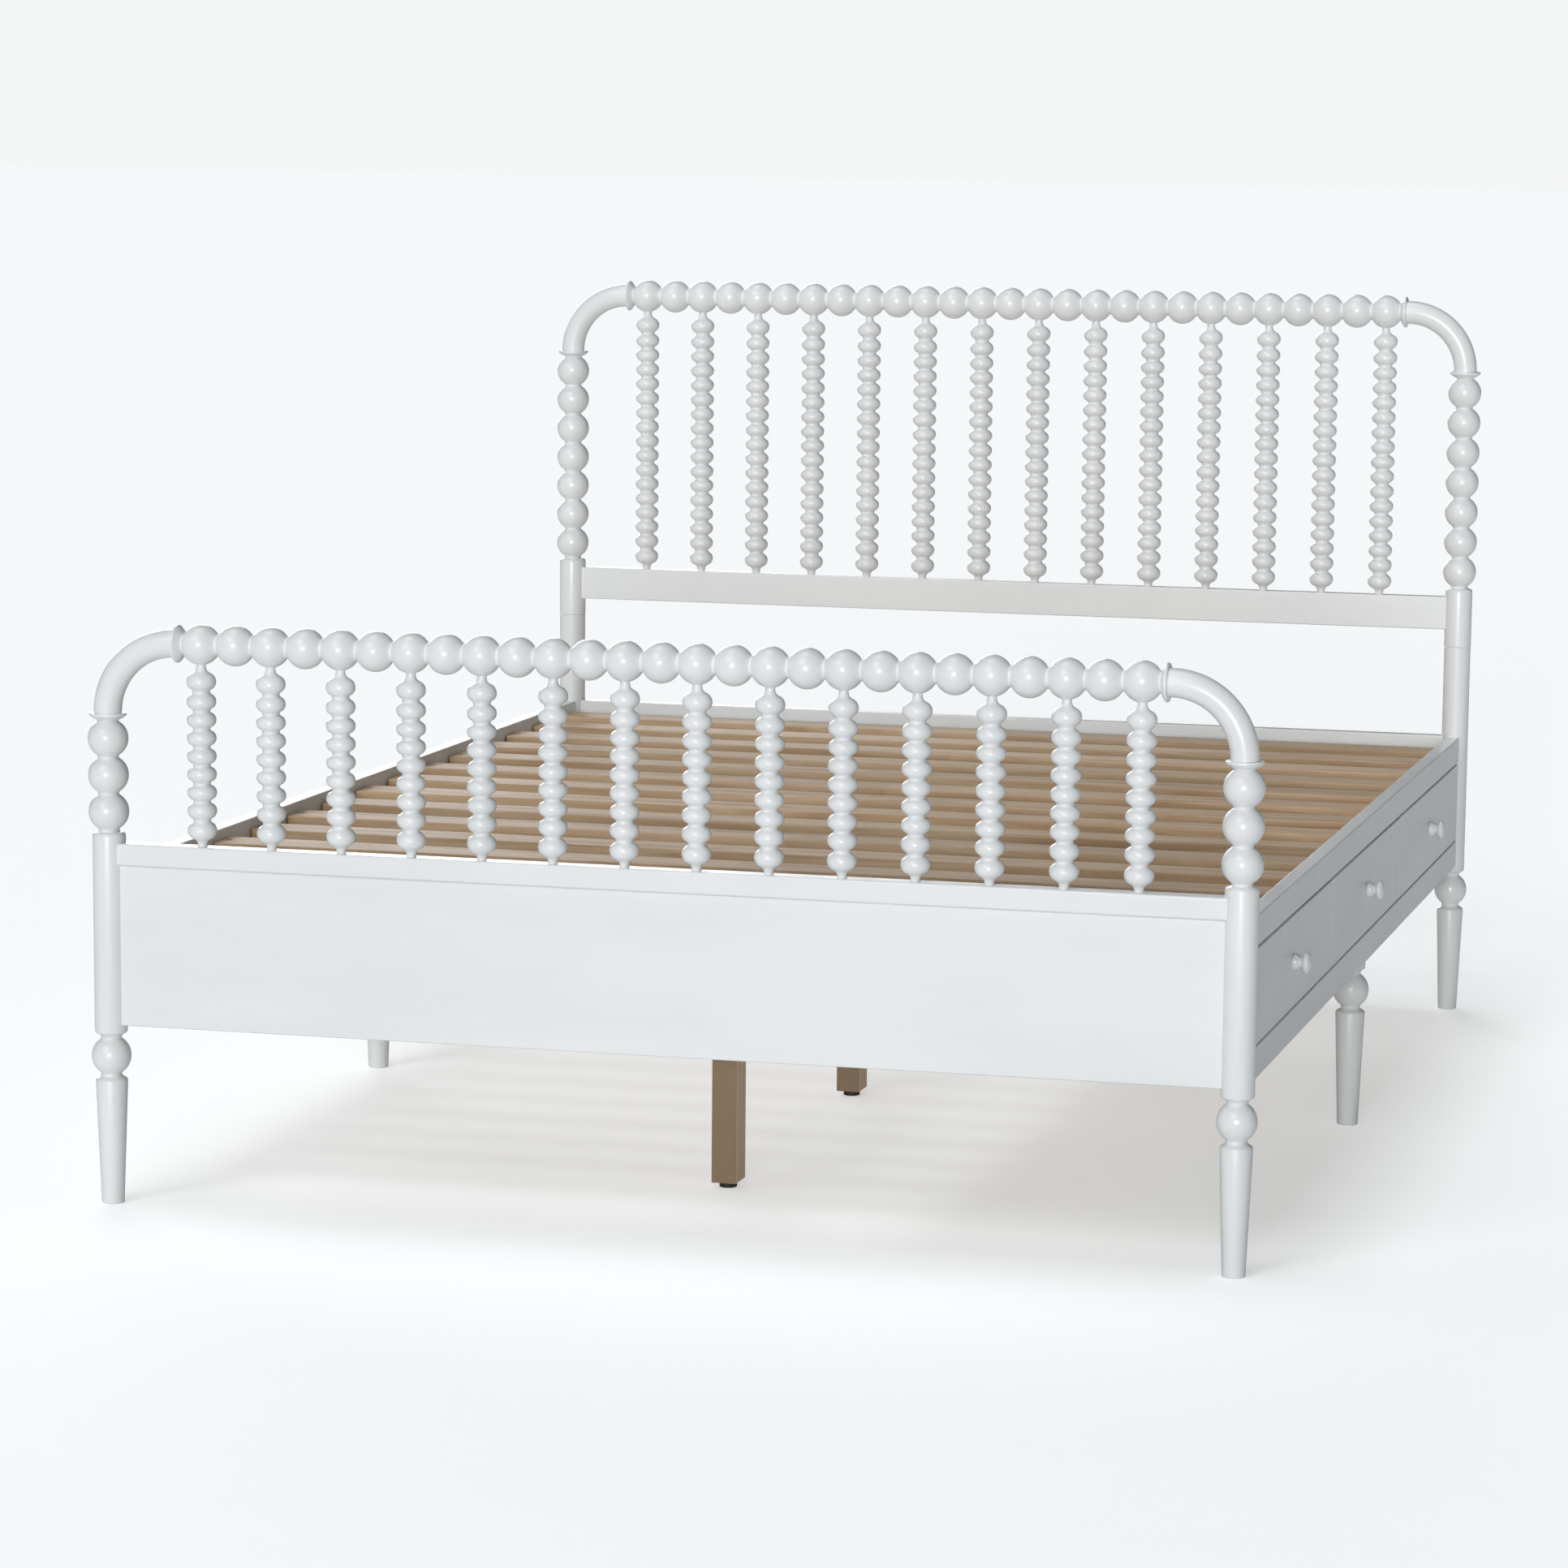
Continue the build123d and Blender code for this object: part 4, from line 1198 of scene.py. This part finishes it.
@dataclass
class SlattedBase:
    """The bare-wood slats and the laminated centre legs with their glides."""

    shop: Workshop
    slat_count: int = 14
    slat_width: float = 70 * MM
    slat_round: float = 2 * MM
    slat_edge_faces: int = 2
    leg_round: float = 1.2 * MM
    glide_break: float = 1.5 * MM
    stud_radius: float = 4 * MM
    glide_height: float = 9 * MM

    def make(self) -> None:
        """Make the slats, the centre legs and the glides."""
        self.make_slats()
        for spot in ("foot", "middle", "head"):
            self.make_centre_leg(spot)
            self.make_glide(spot)

    def make_slats(self) -> None:
        """All the slats as one row."""
        low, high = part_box("slats")
        pine = self.shop.finishes.pine[Grain.ACROSS]
        first_high = Vector((high.x, low.y + self.slat_width, high.z))
        first = self.shop.board("first_slat", low, first_high, pine, self.slat_round, self.slat_edge_faces)
        step = Vector((0, (high.y - low.y - self.slat_width) / (self.slat_count - 1), 0))
        slats = SlatRow().lay(first, "slats_planed", self.slat_count, step, pine)
        self.shop.fit(slats, "bed", Slot.PINE, "slats")

    def make_centre_leg(self, spot: str) -> None:
        """One laminated leg under the centre beam.

        Args:
            spot: foot, middle or head.
        """
        node = f"centre_leg_{spot}"
        low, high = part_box(node)
        leg = self.shop.board(f"{node}_sawn", low, high, self.shop.finishes.veneer, self.leg_round)
        self.shop.fit(leg, "bed", Slot.VENEER, node)

    def make_glide(self, spot: str) -> None:
        """The round levelling glide and its stud.

        Args:
            spot: foot, middle or head.
        """
        node = f"centre_glide_{spot}"
        low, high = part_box(node)
        middle, radius = (low + high) / 2, (high.x - low.x) / 2
        cuts = (
            Cut(radius - self.glide_break, 0.0),
            Cut(radius - BREAK_SHARE * self.glide_break, BREAK_SHARE * self.glide_break),
            Cut(radius, self.glide_break),
            Cut(radius, self.glide_height - self.glide_break),
            Cut(radius - self.glide_break, self.glide_height),
            Cut(self.stud_radius, self.glide_height),
            Cut(self.stud_radius, high.z),
        )
        plastic = self.shop.finishes.plastic
        glide = self.shop.turn_upright(
            f"{node}_moulded", Outline(cuts), middle.x, middle.y, POST_FACETS, plastic
        )
        self.shop.fit(glide, f"glide_{spot}", Slot.PLASTIC, node)


@dataclass
class Drawers:
    """The three drawer fronts with their turned knobs."""

    shop: Workshop
    front_round: float = 2 * MM
    tenon_radius: float = 6 * MM
    head_radius: float = 15 * MM
    head_middle: float = 19 * MM
    head_start: float = -55.0
    head_steps: int = 14
    knob_length: float = 26 * MM
    crown_radius: float = 0.05 * MM
    base_profile: tuple[tuple[float, float], ...] = (
        (9.9, 0.0),
        (10.7, 0.5),
        (11.2, 1.6),
        (11.3, 4.0),
        (11.0, 6.2),
        (10.1, 8.0),
        (8.6, 9.4),
        (7.3, 10.5),
        (6.8, 11.6),
        (7.2, 12.5),
    )
    tenon: float = 4 * MM

    def make(self) -> None:
        """Make each front and its knob."""
        for spot in ("foot", "middle", "head"):
            node = f"drawer_{spot}_front"
            low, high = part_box(node)
            paint = self.shop.finishes.paint[Grain.ALONG]
            front = self.shop.board(f"{node}_board", low, high, paint, self.front_round)
            self.shop.fit(front, f"drawer_{spot}", Slot.PAINT, node)
            self.make_knob(spot, high.x)

    def make_knob(self, spot: str, face_x: float) -> None:
        """A turned knob: rounded base, waist, and a domed head.

        Args:
            spot: foot, middle or head.
            face_x: the face of the drawer front.
        """
        node = f"drawer_{spot}_knob"
        low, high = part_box(node)
        middle = (low + high) / 2
        spine = [
            (Vector((face_x + height, middle.y, middle.z)), radius)
            for radius, height in self.knob_rings()
        ]
        paint = self.shop.finishes.paint[Grain.ACROSS]
        knob = self.shop.lathe.turn(f"{node}_turned", spine, paint, TURNING_FACETS)
        self.shop.fit(knob, f"drawer_{spot}", Slot.PAINT, node)

    def knob_rings(self) -> list[tuple[float, float]]:
        """The knob's rings, from its tenon out to the crown of its head.

        Returns:
            Each ring's radius and its height above the drawer's face.
        """
        rings = [(self.tenon_radius, -self.tenon), (self.tenon_radius, 0.0)]
        rings += [(radius * MM, height * MM) for radius, height in self.base_profile]
        half_head = self.knob_length - self.head_middle
        start = math.radians(self.head_start)
        for step in range(self.head_steps + 1):
            angle = start + (math.pi / 2 - start) * step / self.head_steps
            radius = max(self.head_radius * math.cos(angle), self.crown_radius)
            rings.append((radius, self.head_middle + half_head * math.sin(angle)))
        return rings


class HiddenPieces:
    """The nodes whose own shape is right, dressed in their finishes."""

    def __init__(self, nodes: dict[str, bpy.types.Object], finishes: Finishes) -> None:
        """Keep the frame's nodes and the finishes."""
        self.nodes = nodes
        self.finishes = finishes

    def finish_of(self, node: str) -> bpy.types.Material:
        """The finish that this node wears.

        Args:
            node: the node's name.

        Returns:
            Its material.
        """
        if node in ("slat_ledgers", "centre_beam"):
            return self.finishes.pine[Grain.ALONG]
        if node in ("drawer_dividers", "drawer_back_rail"):
            return self.finishes.paint[Grain.ALONG if node.endswith("rail") else Grain.ACROSS]
        steel = ("bolts", "screws", "brackets", "hangers", "sockets")
        if node.endswith(steel):
            return self.finishes.steel
        return self.finishes.birch[Grain.ALONG if node.endswith("_back") else Grain.ACROSS]

    def dress(self, made: set[str]) -> None:
        """Dress every node that no piece replaces.

        Args:
            made: the names of the nodes that pieces replace.
        """
        for name, node in self.nodes.items():
            if name not in made:
                self.finishes.dress_frame_node(node, self.finish_of(name))
                LOG.info("%s dressed", name)


# ------------------------------------------------------------------- the studio


@dataclass
class Studio:
    """A pale floor, a pale sweep behind it, soft lights, and the camera."""

    camera_place: Place = (1.855, -7.3255, 1.4806)
    yaw: float = 0.235
    pitch: float = -0.150
    roll: float = 0.013
    lens: float = 114.74
    sensor: float = 36.0
    farthest: float = 200.0
    shift: Pair = (-0.0857, 0.0599)
    floor_size: float = 240.0
    floor_tone: Tone = (0.87, 0.90, 0.92)
    floor_roughness: float = 0.8
    floor_glow: float = 0.04
    floor_shine: float = 0.40
    key_from: Place = (-0.25, -0.70, 0.66)
    key_strength: float = 0.74
    key_spread: float = 28.0
    fill_from: Place = (0.10, -0.99, 0.08)
    fill_strength: float = 1.92
    fill_spread: float = 20.0
    top_from: Place = (-0.15, 0.05, 1.0)
    top_strength: float = 0.60
    top_spread: float = 30.0
    rim_from: Place = (-0.50, 0.95, 0.30)
    rim_strength: float = 0.90
    rim_spread: float = 30.0
    light_distance: float = 5.0
    room_tone: Tone = (0.88, 0.95, 1.0)
    room_strength: float = 0.08
    backdrop_tone: Tone = (0.99, 1.0, 1.0)
    backdrop_strength: float = 0.92

    def make(self) -> None:
        """Set up the floor, the lights and the camera."""
        self.lay_floor()
        self.hang_lights()
        self.aim_camera()

    def lay_floor(self) -> None:
        """A wide matte floor that glows a little, and more in the picture than on the bed."""
        bpy.ops.mesh.primitive_plane_add(size=self.floor_size, location=(0, 0, 0))
        floor = bpy.context.object
        floor.name = "studio_floor"
        sheet = FinishSheet("studio_floor")
        sheet.shader.inputs["Base Color"].default_value = (*self.floor_tone, 1.0)
        sheet.shader.inputs["Roughness"].default_value = self.floor_roughness
        sheet.shader.inputs["Specular IOR Level"].default_value = 0.0
        sheet.shader.inputs["Emission Color"].default_value = (1.0, 1.0, 1.0, 1.0)
        path = sheet.add("ShaderNodeLightPath")
        glow = sheet.add("ShaderNodeMath", operation="MULTIPLY_ADD")
        glow.inputs[1].default_value = self.floor_shine
        glow.inputs[2].default_value = self.floor_glow
        sheet.link(path.outputs["Is Camera Ray"], glow.inputs[0])
        sheet.link(glow.outputs["Value"], sheet.shader.inputs["Emission Strength"])
        floor.data.materials.append(sheet.material)

    def hang_lights(self) -> None:
        """A soft key in front, a low fill, an overhead, a low light behind, and the room."""
        for name, towards, strength, spread in (
            ("key_light", self.key_from, self.key_strength, self.key_spread),
            ("low_fill", self.fill_from, self.fill_strength, self.fill_spread),
            ("top_light", self.top_from, self.top_strength, self.top_spread),
            ("rim_light", self.rim_from, self.rim_strength, self.rim_spread),
        ):
            data = bpy.data.lights.new(name, "SUN")
            data.energy, data.angle = strength, math.radians(spread)
            light = bpy.data.objects.new(name, data)
            bpy.context.scene.collection.objects.link(light)
            light.location = Vector(towards) * self.light_distance
            light.rotation_euler = (-Vector(towards)).to_track_quat("-Z", "Y").to_euler()
        world = bpy.data.worlds.new("studio_room")
        world.use_nodes = True
        tree = world.node_tree
        room = tree.nodes["Background"]
        room.inputs["Color"].default_value = (*self.room_tone, 1.0)
        room.inputs["Strength"].default_value = self.room_strength
        backdrop = tree.nodes.new("ShaderNodeBackground")
        backdrop.inputs["Color"].default_value = (*self.backdrop_tone, 1.0)
        backdrop.inputs["Strength"].default_value = self.backdrop_strength
        path = tree.nodes.new("ShaderNodeLightPath")
        choice = tree.nodes.new("ShaderNodeMixShader")
        tree.links.new(path.outputs["Is Camera Ray"], choice.inputs["Fac"])
        tree.links.new(room.outputs["Background"], choice.inputs[1])
        tree.links.new(backdrop.outputs["Background"], choice.inputs[2])
        tree.links.new(choice.outputs["Shader"], tree.nodes["World Output"].inputs["Surface"])
        bpy.context.scene.world = world
        bpy.context.scene.view_settings.view_transform = "Standard"

    def aim_camera(self) -> None:
        """Place the camera by its yaw, pitch and roll about its own line of sight."""
        ahead = Vector(
            (
                -math.sin(self.yaw) * math.cos(self.pitch),
                math.cos(self.yaw) * math.cos(self.pitch),
                math.sin(self.pitch),
            )
        )
        right = ahead.cross(Vector((0, 0, 1))).normalized()
        up = right.cross(ahead)
        cosine, sine = math.cos(self.roll), math.sin(self.roll)
        rolled_right = cosine * right + sine * up
        rolled_up = cosine * up - sine * right
        data = bpy.data.cameras.new("studio_camera")
        data.lens, data.sensor_width = self.lens, self.sensor
        data.shift_x, data.shift_y = self.shift
        data.clip_end = self.farthest
        camera = bpy.data.objects.new("studio_camera", data)
        bpy.context.scene.collection.objects.link(camera)
        turn = Matrix((rolled_right, rolled_up, -ahead)).transposed()
        camera.matrix_world = Matrix.Translation(self.camera_place) @ turn.to_4x4()
        bpy.context.scene.camera = camera


def main(frame: dict) -> None:
    """Build every sub-assembly around the frame, in order.

    Args:
        frame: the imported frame.
    """
    logging.basicConfig(level=logging.INFO, format="%(name)s: %(message)s")
    finishes = Finishes()
    shop = Workshop(finishes)
    assemblies = [
        TurnedEnd("foot", shop),
        TurnedEnd("head", shop),
        SideLegs(shop),
        Boards(shop),
        SlattedBase(shop),
        Drawers(shop),
    ]
    for assembly in assemblies:
        LOG.info("making %s", type(assembly).__name__)
        assembly.make()
    replaced = {name for name, node in frame["nodes"].items() if node.hide_render}
    HiddenPieces(frame["nodes"], finishes).dress(replaced)
    Studio().make()


if __name__ == "__main__":
    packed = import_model()
    main(packed)
